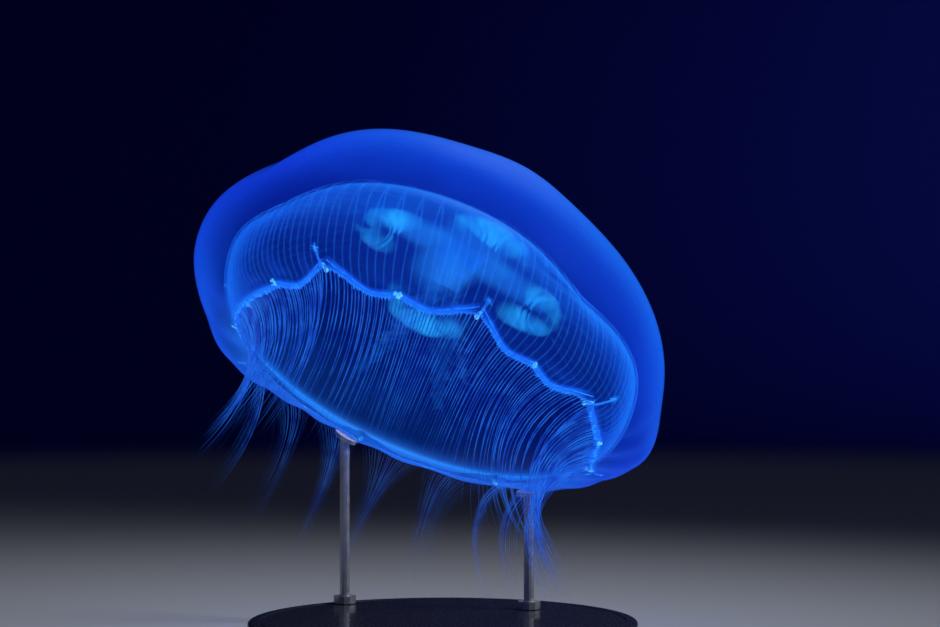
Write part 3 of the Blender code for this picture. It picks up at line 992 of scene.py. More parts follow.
def strip_uv(mesh: Mesh, strands: int) -> None:
    """Gives each strand its own upright strip of the map that colours are baked to.

    Args:
        mesh: A mesh made by the strand tree.
        strands: How many strands it has.
    """
    read = {}
    for name in ("strand", "along", "around"):
        read[name] = np.zeros(len(mesh.vertices), np.float32)
        mesh.attributes[name].data.foreach_get("value", read[name])
    corners = np.zeros(len(mesh.loops), np.int32)
    mesh.loops.foreach_get("vertex_index", corners)
    side, end = STRIP_MARGINS
    across = (read["strand"] + side + (1 - 2 * side) * read["around"]) / strands
    uv = np.stack([across, end + (1 - 2 * end) * read["along"]], -1)[corners]
    mesh.uv_layers.new(name="OFBake").data.foreach_set("uv", uv.astype(np.float32).ravel())


# ---------------------------------------------------------------------------------------------
# Geometry Nodes
# ---------------------------------------------------------------------------------------------


class GeometryTree:
    """A Geometry Nodes tree with named inputs, run on a mesh and turned into a plain one."""

    def __init__(self, name: str, inputs: dict[str, tuple]) -> None:
        """Starts a tree.

        Args:
            name: The tree's name.
            inputs: Input name to its kind and its own value.
        """
        self.tree = bpy.data.node_groups.new(name, "GeometryNodeTree")
        geometry = {"Geometry": ("Geometry",)}
        add_sockets(self.tree, "INPUT", geometry | inputs | {"Material": ("Material",)})
        add_sockets(self.tree, "OUTPUT", geometry)
        self.graph = Graph(self.tree)
        self.inside = self.graph.add("NodeGroupInput").outputs

    def named(self, name: str, kind: str = "FLOAT") -> Socket:
        """Returns the socket that reads a named attribute."""
        return self.graph.out("GeometryNodeInputNamedAttribute", {"Name": name}, data_type=kind)

    def close(self, geometry: Socket) -> None:
        """Ends the tree in Realize Instances, smooth shading and Set Material.

        Args:
            geometry: The geometry to put out.
        """
        for kind in ("GeometryNodeRealizeInstances", "GeometryNodeSetShadeSmooth"):
            geometry = self.graph.out(kind, {"Geometry": geometry})
        dressed = {"Geometry": geometry, "Material": self.inside["Material"]}
        self.graph.add("NodeGroupOutput", {0: self.graph.out("GeometryNodeSetMaterial", dressed)})

    def run(self, base: Mesh, material: Material, values: dict[str, object]) -> Mesh:
        """Runs the tree on a mesh, which it uses up.

        Args:
            base: The mesh that the tree takes in.
            material: The material that it sets.
            values: Input name to value, where it differs from the input's own.

        Returns:
            A plain mesh.
        """
        carrier = mesh_carrier(base)
        modifier = carrier.modifiers.new("nodes", "NODES")
        modifier.node_group = self.tree
        values = values | {"Material": material}
        for socket in self.tree.interface.items_tree:
            if socket.in_out == "INPUT" and socket.name in values:
                modifier[socket.identifier] = values[socket.name]
        return plain_mesh(carrier)


def strand_tree() -> GeometryTree:
    """Builds the tree that turns guide chains into tapering, gently swaying strands.

    Returns:
        The tree. Each strand's points carry "thick", its radius in metres.
    """
    inputs = {"Sides": ("Int", 6), "Sway": ("Float", 0.0), "Sway Scale": ("Float", 60.0)}
    made = GeometryTree("strands", inputs | {"Seed": ("Float", 0.0)})
    graph, inside = made.graph, made.inside
    field = {"Vector": graph.out("GeometryNodeInputPosition"), "Scale": inside["Sway Scale"], "Detail": 1.0}
    field["W"] = graph.math("MULTIPLY_ADD", made.named("strand"), STRAND_PHASE, inside["Seed"])
    noise = graph.add("ShaderNodeTexNoise", field, noise_dimensions="4D").outputs["Color"]
    centred = graph.out("ShaderNodeVectorMath", {0: noise, 1: (0.5, 0.5, 0.5)}, operation="SUBTRACT")
    amount = graph.math("MULTIPLY", inside["Sway"], made.named("along"))
    offset = graph.out("ShaderNodeVectorMath", {0: centred, "Scale": amount}, operation="SCALE")
    moved = graph.out("GeometryNodeSetPosition", {"Geometry": inside["Geometry"], "Offset": offset})
    circle = {"Resolution": inside["Sides"], "Radius": 1.0}
    round_about = {"Geometry": graph.out("GeometryNodeCurvePrimitiveCircle", circle, mode="RADIUS")}
    round_about |= {"Name": "around", "Value": graph.add("GeometryNodeSplineParameter").outputs["Factor"]}
    tube = {"Curve": graph.out("GeometryNodeMeshToCurve", {"Mesh": moved}), "Scale": made.named("thick")}
    profile = graph.out("GeometryNodeStoreNamedAttribute", round_about, data_type="FLOAT", domain="POINT")
    made.close(graph.out("GeometryNodeCurveToMesh", tube | {"Profile Curve": profile, "Fill Caps": True}))
    return made


def bead_tree() -> GeometryTree:
    """Builds the tree that sets a small rounded bead on each vertex, along its own direction.

    Returns:
        The tree. Each vertex carries "size", a vector, and "lie", the bead's long direction.
    """
    made = GeometryTree("beads", {"Segments": ("Int", 7), "Rings": ("Int", 5)})
    graph, inside = made.graph, made.inside
    ball = {"Segments": inside["Segments"], "Rings": inside["Rings"], "Radius": 0.5}
    lie = {"Vector": made.named("lie", "FLOAT_VECTOR")}
    beads = {
        "Points": inside["Geometry"],
        "Instance": graph.out("GeometryNodeMeshUVSphere", ball),
        "Rotation": graph.out("FunctionNodeAlignRotationToVector", lie, axis="Z"),
        "Scale": made.named("size", "FLOAT_VECTOR"),
    }
    made.close(graph.out("GeometryNodeInstanceOnPoints", beads))
    return made


# ---------------------------------------------------------------------------------------------
# Sub-assemblies
# ---------------------------------------------------------------------------------------------


@dataclass
class Workshop:
    """What every sub-assembly needs: the form, its bank, the shared trees and the finishes."""

    form: BellForm
    bank: Bank
    strands: GeometryTree
    beads: GeometryTree
    materials: dict[str, Material]
    back_band: Pair = (-0.3, 0.6)

    def middle(self) -> Array:
        """Returns the bell's middle in the world's frame."""
        return self.bank.place(UP * self.form.widest)

    def far_angle(self) -> float:
        """Returns the angle round the bell that faces the back."""
        far = self.bank.direction((0.0, 1.0, 0.0))
        return math.atan2(far[1], far[0])

    def back(self, angle: Array) -> Array:
        """Returns 0 round the front of the margin and 1 round its back."""
        return smooth_step(*self.back_band, np.cos(angle - self.far_angle()))

    def declare(self, piece: Object, slot: str, *replaced: str) -> None:
        """Rides a piece on the one body and hides the solid nodes that it replaces.

        Args:
            piece: The finished piece.
            slot: Its material slot in the record. Not used.
            replaced: The solid nodes that it replaces.
        """
        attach(piece, "root")
        if replaced:
            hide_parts(*replaced)
        LOG.info("%s: %d faces", piece.name, len(piece.data.polygons))

    def piece(self, name: str, mesh: Mesh, finish: str, slot: str, *replaced: str) -> None:
        """Makes and declares one piece.

        Args:
            name: The piece's name.
            mesh: Its mesh, in the world's frame.
            finish: The name of its finish.
            slot: Its material slot in the record.
            replaced: The solid nodes that it replaces.
        """
        self.declare(mesh_object(name, mesh, self.materials[finish]), slot, *replaced)

    def strand_mesh(self, strands: list[Array], finish: str, values: dict, **carried: list[Array]) -> Mesh:
        """Makes strands, each with its own strip of the map that colours are baked to.

        Args:
            strands: The points of each strand, in the world's frame.
            finish: The name of their finish.
            values: The strand tree's inputs.
            carried: For each attribute, one array for each strand.

        Returns:
            The mesh.
        """
        mesh = self.strands.run(guide_mesh(strands, carried), self.materials[finish], values)
        strip_uv(mesh, len(strands))
        return mesh

    def bead_mesh(self, sets: list[tuple[Array, ...]], finish: str, segments: int, rings: int) -> Mesh:
        """Makes beads on points of the animal's frame.

        Args:
            sets: For each set of beads, their places, sizes and long directions.
            finish: The name of their finish.
            segments: How many segments a bead has.
            rings: How many rings it has.

        Returns:
            The mesh.
        """
        place, size, lie = (np.concatenate(arrays) for arrays in zip(*sets))
        points = point_mesh(self.bank.place(place), size, lie @ self.bank.turn().T)
        return self.beads.run(points, self.materials[finish], {"Segments": segments, "Rings": rings})


@dataclass
class BellSkin:
    """One closed skin over the bell's jelly and its eight marginal lobes."""

    shop: Workshop
    columns: int = 512
    outer_rows: int = 62
    inner_rows: int = 52
    crowding: float = 1.7
    ripple: float = 0.0004
    ripples: int = 24
    ripple_drift: Pair = (3.0, 3.0)
    ripple_rise: Pair = (0.030, 0.004)
    ripple_fall: Pair = (-0.004, 0.006)
    # Painted bright rim: a glowing line round the lip at the front, and a painted bright band above the
    # margin at the back.
    near_glow_band: Pair = (0.0008, 0.0030)
    far_rise: Pair = (-0.0070, 0.0020)
    far_fall: Pair = (0.0015, 0.0130)
    far_painted_glow: float = 0.70

    def _lengths(self, side: Side, angles: Array, rows: int) -> Array:
        """Returns the lengths along the wall of one face's rows, from its top to the free margin.

        Args:
            side: The wall's face.
            angles: The columns' angles.
            rows: How many rows it has.

        Returns:
            Rows by columns.
        """
        top = -self.shop.form.wall_length(side)
        share = 1 - (1 - np.linspace(0, 1, rows)) ** self.crowding
        return top + (self.shop.form.reach(angles) - top) * share[:, None]

    def _outer_face(self, angles: Array, length: Array) -> Array:
        """Returns the outer face, which is finely fluted near the edge.

        Args:
            angles: The columns' angles.
            length: Rows by columns of lengths along the wall.

        Returns:
            Rows by columns by x, y, z.
        """
        points = self.shop.form.wall(Side.OUTER, angles, length)
        drift = self.ripple_drift[0] * np.sin(angles * self.ripple_drift[1])
        wave = np.sin(angles * self.ripples + drift)
        fade = smooth_step(*self.ripple_rise, -length) * smooth_step(*self.ripple_fall, -length)
        return points + form_normals(points) * (self.ripple * wave * fade)[..., None]

    def build(self) -> None:
        """Makes the skin, with attributes for its inner face and its painted bright rim: a painted glow
        along the lip at the front and a painted bright band above the margin at the back.
        """
        form = self.shop.form
        angles = np.linspace(0, TAU, self.columns, endpoint=False) + form.first_notch
        outside = self._lengths(Side.OUTER, angles, self.outer_rows)
        inside = self._lengths(Side.INNER, angles, self.inner_rows)[::-1]
        outer, inner = self._outer_face(angles, outside), form.wall(Side.INNER, angles, inside)
        middle = (outer[-1] + inner[0]) / 2
        arm = outer[-1] - middle
        ahead = unit(outer[-1] - outer[-2]) * np.linalg.norm(arm, axis=-1, keepdims=True)
        lip = [middle + arm * math.cos(turn) + ahead * math.sin(turn) for turn in np.radians([45, 90, 135])]
        rows = np.concatenate([outer, lip, inner])
        above = -np.concatenate([outside, np.repeat(outside[-1:], len(lip), axis=0), inside])
        near = 1 - smooth_step(*self.near_glow_band, np.linalg.norm(rows - middle, axis=-1))
        far = smooth_step(*self.far_rise, above) * (1 - smooth_step(*self.far_fall, above))
        within = np.zeros(rows.shape[:2])
        within[self.outer_rows + 1 :] = 1
        mesh = grid_mesh(self.shop.bank.place(rows))
        # rim: each vertex's share of the painted bright rim.
        add_attribute(mesh, "rim", near + (self.far_painted_glow * far - near) * self.shop.back(angles))
        add_attribute(mesh, "inner", within)
        lobes = [f"margin_lobe_{i + 1}" for i in range(form.lobes)]
        self.shop.piece("bell_skin", tidy_mesh(mesh), "jelly", "jelly", "bell", *lobes)


def form_normals(points: Array) -> Array:
    """Returns the outward unit normals of rows of points on the bell's outside."""
    normal = unit(np.cross(np.gradient(points, axis=1), np.gradient(points, axis=0)))
    return np.where((normal * points).sum(-1, keepdims=True) < 0, -normal, normal)


@dataclass
class Canals:
    """The ring canal at the margin and the branched canals that run down the inside of the wall."""

    shop: Workshop
    systems: int = 16
    ends: int = 9
    forks: tuple[tuple[float, int], ...] = ((0.30, 2), (0.52, 2), (0.70, 3))
    fork_spread: Pair = (0.93, 1.07)
    end_spread: float = 0.06
    end_gap: float = 0.0012
    trunk_radius: float = 0.00050
    twig_radius: float = 0.00034
    swell: Pair = (0.0, 0.05)
    ring_radius: float = 0.00020
    ring_gap: float = 0.0011
    ring_inset: float = math.radians(0.7)
    ring_points: int = 90
    back_slimness: float = 0.75
    sink: float = 0.0005
    points: int = 16
    bend_power: int = 3
    sides: int = 6
    seed: int = 11

    def _tree_paths(self, centre: float, rng: np.random.Generator) -> list[tuple[Array, Array]]:
        """Returns the canals of one branched system.

        Args:
            centre: The angle of its trunk.
            rng: The random source.

        Returns:
            For each canal, its angles and its lengths along the wall.
        """
        form = self.shop.form
        top = -form.wall_length(Side.INNER)
        gap = TAU / self.systems / self.ends
        share = np.linspace(0, 1, self.points)
        nodes = centre + (np.arange(self.ends) - (self.ends - 1) / 2) * gap
        nodes = nodes + rng.uniform(-self.end_spread, self.end_spread, self.ends) * gap
        start = form.reach(nodes) - self.end_gap
        paths = []
        for height, group in self.forks:
            parents = [float(np.mean(nodes[i : i + group])) for i in range(0, len(nodes), group)]
            for i, angle in enumerate(nodes):
                end = height * top * rng.uniform(*self.fork_spread)
                bend = (parents[i // group] - angle) * share**self.bend_power
                paths.append((angle + bend, start[i] + (end - start[i]) * share))
            nodes, start = np.array(parents), np.full(len(parents), height * top)
        return paths

    def _radial(self) -> None:
        """Makes the branched canals."""
        shop = self.shop
        rng = np.random.default_rng(self.seed)
        strands, thick = [], []
        for centre in shop.form.first_notch + np.arange(self.systems) * TAU / self.systems:
            for angle, length in self._tree_paths(centre, rng):
                strands.append(shop.bank.place(shop.form.wall(Side.INNER, angle, length, self.sink)))
                swell = smooth_step(*self.swell, -length)
                thick.append(self.twig_radius + (self.trunk_radius - self.twig_radius) * swell)
        mesh = shop.strand_mesh(strands, "canal", {"Sides": self.sides}, thick=thick)
        mark_outward(mesh, shop.middle(), 0.0)
        shop.piece("radial_canals", mesh, "canal", "gonad")

    def _ring(self) -> None:
        """Makes the ring canal, broken at the notches, just above the free margin."""
        shop, form = self.shop, self.shop.form
        strands, thick = [], []
        for notch in form.notches():
            angle = notch + np.linspace(self.ring_inset, form.pitch - self.ring_inset, self.ring_points)
            length = form.reach(angle) - self.ring_gap
            both = [form.wall(side, angle, length) for side in Side]
            strands.append(shop.bank.place((both[0] + both[1]) / 2))
            thick.append(self.ring_radius * (1 - self.back_slimness * shop.back(angle)))
        mesh = shop.strand_mesh(strands, "margin", {"Sides": self.sides}, thick=thick)
        shop.piece("ring_canal", mesh, "margin", "margin")

    def build(self) -> None:
        """Makes the branched canals and the ring canal."""
        self._radial()
        self._ring()


@dataclass(frozen=True)
class Waves:
    """A smooth random curve round the margin, so that neighbours move together."""

    seed: int
    cycles: tuple[int, ...] = (3, 7, 13, 23)
    height: float = 0.6

    def at(self, angle: Array) -> Array:
        """Reads the curve.

        Args:
            angle: Angles round the bell.

        Returns:
            The curve's values, mostly between -1 and 1.
        """
        rng = np.random.default_rng(self.seed)
        return sum(
            rng.normal(0, self.height) * np.sin(cycle * angle + rng.uniform(0, TAU))
            for cycle in self.cycles
        )


@dataclass
class TentacleFringe:
    """The full fringe of marginal tentacles, combed side by side and gathered in wisps at the back."""

    shop: Workshop
    per_scallop: int = 20
    root_rise: float = 0.0004
    root_sink: float = 0.0003
    length: float = 0.058
    extra_right: float = 0.016
    extra_back: float = 0.014
    length_spread: float = 0.10
    start_angle: float = math.radians(-62)
    end_angle: float = math.radians(25)
    turn_power: float = 0.8
    drift_share: float = 0.65
    drift_roots: tuple[float, ...] = (-0.95, -0.60, 0.35, 0.70)
    drift_slopes: tuple[float, ...] = (-1.00, -0.45, -0.45, 1.70)
    stray: float = 0.020
    wave_turn: float = 0.07
    base_radius: float = 0.00029
    tip_radius: float = 0.00012
    taper_power: float = 0.8
    scale_spread: Pair = (0.75, 1.15)
    far_slimness: float = 0.45
    far_dim: Pair = (0.42, 0.88)
    segments: int = 18
    sides: int = 5
    sway: float = 0.0016
    sway_scale: float = 38.0
    sway_seed: float = 2.0
    wisp: int = 20
    wisp_pull: float = 0.62
    wisp_root: float = 0.5
    wisp_from: Pair = (-0.01, 0.03)
    seed: int = 4

    def _wave(self, number: int, angle: Array) -> Array:
        """Returns one of the slow turns that neighbours share, in radians."""
        return self.wave_turn * Waves(self.seed + number).at(angle)

    def _strands(self, angle: Array, rng: np.random.Generator) -> Array:
        """Returns the middle lines of the tentacles in the animal's frame.

        Args:
            angle: Where on the margin each one grows.
            rng: The random source.

        Returns:
            Tentacles by points by x, y, z, from root to tip.
        """
        form, bank, count = self.shop.form, self.shop.bank, len(angle)
        root = form.wall(Side.OUTER, angle, form.reach(angle) - self.root_rise, self.root_sink)
        outward = polar(1.0, angle, 0.0)
        across = root[:, 0] / form.scallop_tip[0]
        change = smooth_step(*self.drift_roots[-2:], across)
        slope = np.interp(across, self.drift_roots, self.drift_slopes)
        pull = np.array([bank.direction((x, 0.0, -1.0)) for x in slope])
        pull = pull + rng.normal(0, self.stray, (count, 3))
        pull = unit(pull + np.stack([self._wave(i, angle) for i in range(3)], -1))
        reach = self.length * (1 + rng.uniform(-1, 1, count) * self.length_spread)
        reach = reach + self.extra_right * change + self.extra_back * self.shop.back(angle) * (1 - change)
        first = self.start_angle + self._wave(3, angle) + rng.normal(0, self.stray, count)
        last = self.end_angle + self._wave(4, angle) + rng.normal(0, self.stray, count)
        points = [root]
        for share in (np.arange(self.segments) + 0.5) / self.segments:
            turn = (first + (last - first) * share**self.turn_power)[:, None]
            own = outward * np.sin(turn) - UP * np.cos(turn)
            step = unit(own + (pull - own) * self.drift_share * share)
            points.append(points[-1] + step * (reach / self.segments)[:, None])
        return np.stack(points, 1)

    def _far(self, lines: Array) -> Array:
        """Returns 1 for the tentacles that grow at the back and 0 for those at the front."""
        return smooth_step(*self.wisp_from, lines[:, 0, 1] - self.shop.bank.mouth_centre[1])

    def _gathered(self, lines: Array) -> Array:
        """Draws the tentacles of the far side together in wisps.

        Args:
            lines: Tentacles by points by x, y, z, in the world's frame.

        Returns:
            The moved points.
        """
        hold = smooth_step(0.0, self.wisp_root, np.linspace(0, 1, lines.shape[1]))
        pull = self.wisp_pull * self._far(lines)[:, None] * hold
        moved = lines.copy()
        for start in range(0, len(lines), self.wisp):
            group = slice(start, start + self.wisp)
            moved[group] += (lines[group].mean(0) - lines[group]) * pull[group, :, None]
        return moved

    def build(self) -> None:
        """Makes the fringe as one piece."""
        shop, form = self.shop, self.shop.form
        rng = np.random.default_rng(self.seed)
        count = self.per_scallop * 2 * form.lobes
        angle = form.first_notch + (np.arange(count) + 0.5 + rng.uniform(*JITTER, count)) * TAU / count
        lines = self._gathered(shop.bank.place(self._strands(angle, rng)))
        far, share = self._far(lines), np.linspace(0, 1, self.segments + 1)
        radius = self.base_radius + (self.tip_radius - self.base_radius) * share**self.taper_power
        scale = rng.uniform(*self.scale_spread, count) * (1 - self.far_slimness * far)
        off_middle = np.abs((np.arange(count) % self.wisp + 0.5) / self.wisp * 2 - 1)
        dim = (self.far_dim[0] + (self.far_dim[1] - self.far_dim[0]) * off_middle) * far
        along = [start + (1 - start) * share for start in dim]
        values = {"Sides": self.sides, "Sway": self.sway, "Sway Scale": self.sway_scale}
        values["Seed"] = self.sway_seed
        thick = [radius * size for size in scale]
        mesh = shop.strand_mesh(list(lines), "tentacle", values, thick=thick, along=along)
        shop.piece("tentacles", mesh, "tentacle", "margin")


@dataclass
class MarginTrim:
    """The comb of tentacle bulbs, the knobs between scallops that carry painted highlight spots, and the
    notches' tufts and sense clubs.
    """

    shop: Workshop
    bulbs: int = 22
    bulb_size: Triple = (0.00042, 0.00044, 0.0018)
    bulb_spread: Pair = (0.75, 1.3)
    bulb_past: Pair = (-0.0003, 0.0004)
    bulb_swell: float = 0.9
    bulb_lift: float = 0.0001
    bulb_step: float = 0.0005
    bulb_facets: tuple[int, int] = (6, 4)
    back_slimness: float = 0.60
    knob_beads: int = 14
    knob_turn: float = 0.008
    knob_rise: Pair = (0.0012, 0.0008)
    knob_size: Pair = (0.0006, 0.0013)
    knob_lift: float = 0.0002
    knob_facets: tuple[int, int] = (10, 7)
    stem: Pair = (-0.0050, -0.0130)
    stem_threads: int = 3
    stem_radii: Pair = (0.00026, 0.00018)
    stem_points: int = 12
    stem_twist: Pair = (0.006, 5.0)
    stem_sides: int = 5
    stem_sway: float = 0.0006
    stem_shrink: float = 0.7
    stem_full: Pair = (-0.6, -0.3)
    stem_lift: float = 0.0003
    rosette: int = 18
    rosette_reach: Pair = (0.0010, 0.0021)
    rosette_radii: Pair = (0.00018, 0.00007)
    rosette_points: int = 5
    rosette_curl: float = 0.0003
    rosette_lift: Pair = (0.0, 0.3)
    club_stalk: Triple = (0.0017, 0.0017, 0.0040)
    club_head: Triple = (0.0019, 0.0019, 0.0019)
    club_past: Pair = (0.0020, 0.0040)
    club_sink: float = 0.0008
    club_inset: float = 0.0012
    club_facets: tuple[int, int] = (14, 10)
    step: float = 0.001
    dark_side: float = 0.15
    seed: int = 7

    def _comb(self) -> None:
        """Makes the comb of bulbs along the free margin."""
        shop, form = self.shop, self.shop.form
        rng = np.random.default_rng(self.seed)
        count = self.bulbs * 2 * form.lobes
        angle = form.first_notch + (np.arange(count) + rng.uniform(*JITTER, count)) * TAU / count
        length = form.reach(angle) + rng.uniform(*self.bulb_past, count)
        length = np.minimum(length, form.flap_length() - self.bulb_lift)
        steps = (0.0, self.bulb_step)
        here, above = (form.wall(Side.OUTER, angle, length - step, -self.bulb_lift) for step in steps)
        size = np.array(self.bulb_size) * rng.uniform(*self.bulb_spread, (count, 1))
        size = size * (1 - self.back_slimness * shop.back(angle))[:, None]
        size[:, :2] *= 1 + self.bulb_swell * form.smoothness(angle)[:, None]
        mesh = shop.bead_mesh([(here, size, here - above)], "margin", *self.bulb_facets)
        shop.piece("margin_comb", mesh, "margin", "margin")

    def _highlight_knobs(self) -> None:
        """Makes small beads at the cusps between two scallops of a lobe, whose pale glowing finish paints
        bright highlight spots there.
        """
        shop, form, count = self.shop, self.shop.form, self.knob_beads
        rng = np.random.default_rng(self.seed + 1)
        upright = np.tile(shop.bank.direction((0.0, 0.0, 1.0)), (count, 1))
        sets = []
        for cusp in form.notches() + form.pitch / 2:
            angle = cusp + rng.normal(0, self.knob_turn, count)
            length = form.reach(np.full(count, cusp)) - np.abs(rng.normal(*self.knob_rise, count))
            full = 1 - self.back_slimness * float(shop.back(cusp))
            size = rng.uniform(*self.knob_size, (count, 1)) * full * np.ones(3)
            sets.append((form.wall(Side.OUTER, angle, length, -self.knob_lift), size, upright))
        # The pale glowing sense finish turns these beads into painted highlight spots.
        mesh = shop.bead_mesh(sets, "sense", *self.knob_facets)
        mark_outward(mesh, shop.middle(), self.dark_side)
        shop.piece("margin_highlight_knobs", mesh, "sense", "sense_organ")

    def _stem(self, notch: float, high: float) -> list[Array]:
        """Returns the threads of the stem that runs up the wall above a notch.

        Args:
            notch: The notch's angle.
            high: The length along the wall where the stem ends.

        Returns:
            The threads' points in the animal's frame.
        """
        share = np.linspace(0, 1, self.stem_points)
        length = self.stem[0] + (high - self.stem[0]) * share
        turns = np.arange(self.stem_threads) * TAU / self.stem_threads
        twist, rate = self.stem_twist
        angles = [notch + twist * np.sin(rate * share + turn) for turn in turns]
        return [self.shop.form.wall(Side.OUTER, angle, length, -self.stem_lift) for angle in angles]

    def _rosette(self, notch: float, high: float, full: float, rng: np.random.Generator) -> list[Array]:
        """Returns the hairs of the rosette at a stem's end.

        Args:
            notch: The notch's angle.
            high: The length along the wall where the stem ends.
            full: The rosette's share of its full size.
            rng: The random source.

        Returns:
            The hairs' points in the animal's frame.
        """
        ends = np.array([high, high - self.step])
        middle, above = self.shop.form.wall(Side.OUTER, np.full(2, notch), ends, -self.stem_lift)
        up = unit(above - middle)
        across = np.array([-math.sin(notch), math.cos(notch), 0.0])
        out = np.cross(up, across)
        out *= np.sign(np.dot(out, middle)) or 1.0
        share = np.linspace(0, 1, self.rosette_points)[:, None]
        hairs = []
        for turn in np.arange(self.rosette) * TAU / self.rosette + rng.uniform(*JITTER, self.rosette):
            aim = unit(up * math.cos(turn) + across * math.sin(turn) + out * rng.uniform(*self.rosette_lift))
            aim = aim * rng.uniform(*self.rosette_reach) * full
            hairs.append(middle + aim * share + rng.normal(0, self.rosette_curl, 3) * share**2)
        return hairs

    def _tufts(self) -> None:
        """Makes a thin stem above each notch, with a small rosette at its end."""
        shop, form = self.shop, self.shop.form
        rng, far = np.random.default_rng(self.seed + 2), shop.far_angle()
        strands, thick = [], []
        for notch in form.notches():
            full = 1 - self.stem_shrink * float(smooth_step(*self.stem_full, np.cos(notch - far)))
            high = self.stem[0] + (self.stem[1] - self.stem[0]) * full
            threads, hairs = self._stem(notch, high), self._rosette(notch, high, full, rng)
            for lines, radii in ((threads, self.stem_radii), (hairs, self.rosette_radii)):
                strands += [shop.bank.place(line) for line in lines]
                thick += [np.linspace(*radii, len(line)) * full for line in lines]
        values = {"Sides": self.stem_sides, "Sway": self.stem_sway}
        mesh = shop.strand_mesh(strands, "tuft", values, thick=thick)
        shop.piece("notch_tufts", mesh, "tuft", "margin")

    def _clubs(self) -> None:
        """Makes the eight sense clubs, each a short stalk with a round bead at its end, in the notches."""
        shop, form = self.shop, self.shop.form
        notch = form.notches()
        sets = []
        for past, size in zip(self.club_past, (self.club_stalk, self.club_head)):
            length = np.minimum(form.reach(notch) + past, form.flap_length() - self.club_inset)
            steps = (0.0, self.step)
            here, ahead = (form.wall(Side.OUTER, notch, length + step, self.club_sink) for step in steps)
            sets.append((here, np.tile(size, (form.lobes, 1)), ahead - here))
        mesh = shop.bead_mesh(sets, "sense", *self.club_facets)
        mark_outward(mesh, shop.middle(), self.dark_side)
        clubs = [f"rhopalium_{i + 1}" for i in range(form.lobes)]
        shop.piece("rhopalia", mesh, "sense", "sense_organ", *clubs)

    def build(self) -> None:
        """Makes every trim piece."""
        self._comb()
        self._highlight_knobs()
        self._tufts()
        self._clubs()


@dataclass
class Gonads:
    """Four frilled horseshoes under the roof, each round its stomach pouch."""

    shop: Workshop
    count: int = 4
    first: float = math.radians(14)
    shift: Pair = STOMACH_SHIFT
    ring_radii: tuple[float, ...] = (0.0268, 0.0285, 0.0262, 0.0305)
    sags: tuple[float, ...] = (0.0, 0.0075, 0.0, -0.0015)
    arc_radius: float = 0.0124
    half_angle: float = math.radians(114)
    tube_radius: float = 0.0066
    tube_shape: Pair = (1.15, 0.8)
    tube_lobing: float = 0.05
    tube_lobes: tuple[int, int, int] = (3, 11, 2)
    end_power: int = 8
    frill: float = 0.0002
    frills: int = 26
    drop: float = 0.0056
    along: int = 180
    around: int = 20
    stomach_ring: Pair = (0.0330, 0.0100)
    stomach_drop: float = 0.0006
    stomach_bulge: float = 0.0022
    stomach_rings: int = 16
    stomach_shares: Pair = (0.02, 0.995)
    stomach_columns: int = 128

    def roof(self, x: Array, y: Array, drop: float) -> Array:
        """Returns points a little under the roof, bent with the bell.

        Args:
            x: Their x in the round bell.
            y: Their y.
            drop: How far under the roof they lie.

        Returns:
            The points.
        """
        form = self.shop.form
        level = np.sqrt(np.maximum(0, 1 - (np.hypot(x, y) / form.cavity_radius) ** 2))
        height = form.widest + (form.roof - form.widest) * level - drop
        return form.bent(np.stack([x, y, height], -1), Side.INNER)

    def _horseshoe(self, index: int) -> None:
        """Makes one gonad, a tube whose wall is thrown into frills.

        Args:
            index: Which gonad.
        """
        shop = self.shop
        outward = self.first + index * TAU / self.count
        swing = np.linspace(-self.half_angle, self.half_angle, self.along)
        out = polar(1.0, outward + swing, 0.0)
        centre = polar(self.ring_radii[index], outward, 0.0) + np.array([*self.shift, 0.0])
        line = centre + self.arc_radius * out
        middle = self.roof(line[:, 0], line[:, 1], self.drop + self.sags[index])
        end = 1 - (np.abs(swing) / self.half_angle) ** self.end_power
        wave = np.sin(swing / self.half_angle * self.frills + index)
        round_about, lengthwise, twist = self.tube_lobes
        rows = []
        for turn in np.linspace(0, TAU, self.around, endpoint=False):
            lobed = math.cos(round_about * turn) * np.cos(swing * lengthwise + twist * turn)
            lobed = 1 + self.tube_lobing * lobed
            side = self.tube_radius * np.sqrt(end) * lobed
            fold = self.frill * wave * max(0.0, -math.sin(turn)) * end
            wide = self.tube_shape[0] * (side * math.cos(turn) + fold)
            high = self.tube_shape[1] * side * math.sin(turn)
            rows.append(middle + out * wide[:, None] + UP * high[:, None])
        grid = shop.bank.place(np.stack(rows, 1))
        mesh = grid_mesh(grid)
        ends = np.abs(swing / self.half_angle)[:, None]
        add_attribute(mesh, "along", np.broadcast_to(ends, grid.shape[:2]))
        shop.piece(f"gonad_frill_{index + 1}", tidy_mesh(mesh), "gonad", "gonad", f"gonad_{index + 1}")

    def _stomach(self) -> None:
        """Makes the four-lobed stomach, a thin clear lens under the roof."""
        shop = self.shop
        angle = np.linspace(0, TAU, self.stomach_columns, endpoint=False)
        ring = self.stomach_ring[0] + self.stomach_ring[1] * np.cos(self.count * (angle - self.first))
        least, most = self.stomach_shares
        upper = [(share, 0.0) for share in np.linspace(least, 1, self.stomach_rings)]
        lower = [(share, math.sqrt(1 - share**2)) for share in np.linspace(most, least, self.stomach_rings)]
        rows = []
        for share, bulge in upper + lower:
            flat = polar(ring * share, angle, 0.0)
            drop = self.stomach_drop + self.stomach_bulge * bulge
            rows.append(self.roof(flat[:, 0] + self.shift[0], flat[:, 1] + self.shift[1], drop))
        mesh = grid_mesh(shop.bank.place(np.array(rows)))
        add_attribute(mesh, "along", np.repeat([share for share, _ in upper + lower], len(angle)))
        shop.piece("stomach", fill_ends(mesh), "pouch", "gonad")

    def build(self) -> None:
        """Makes the four gonads and the stomach."""
        for index in range(self.count):
            self._horseshoe(index)
        self._stomach()


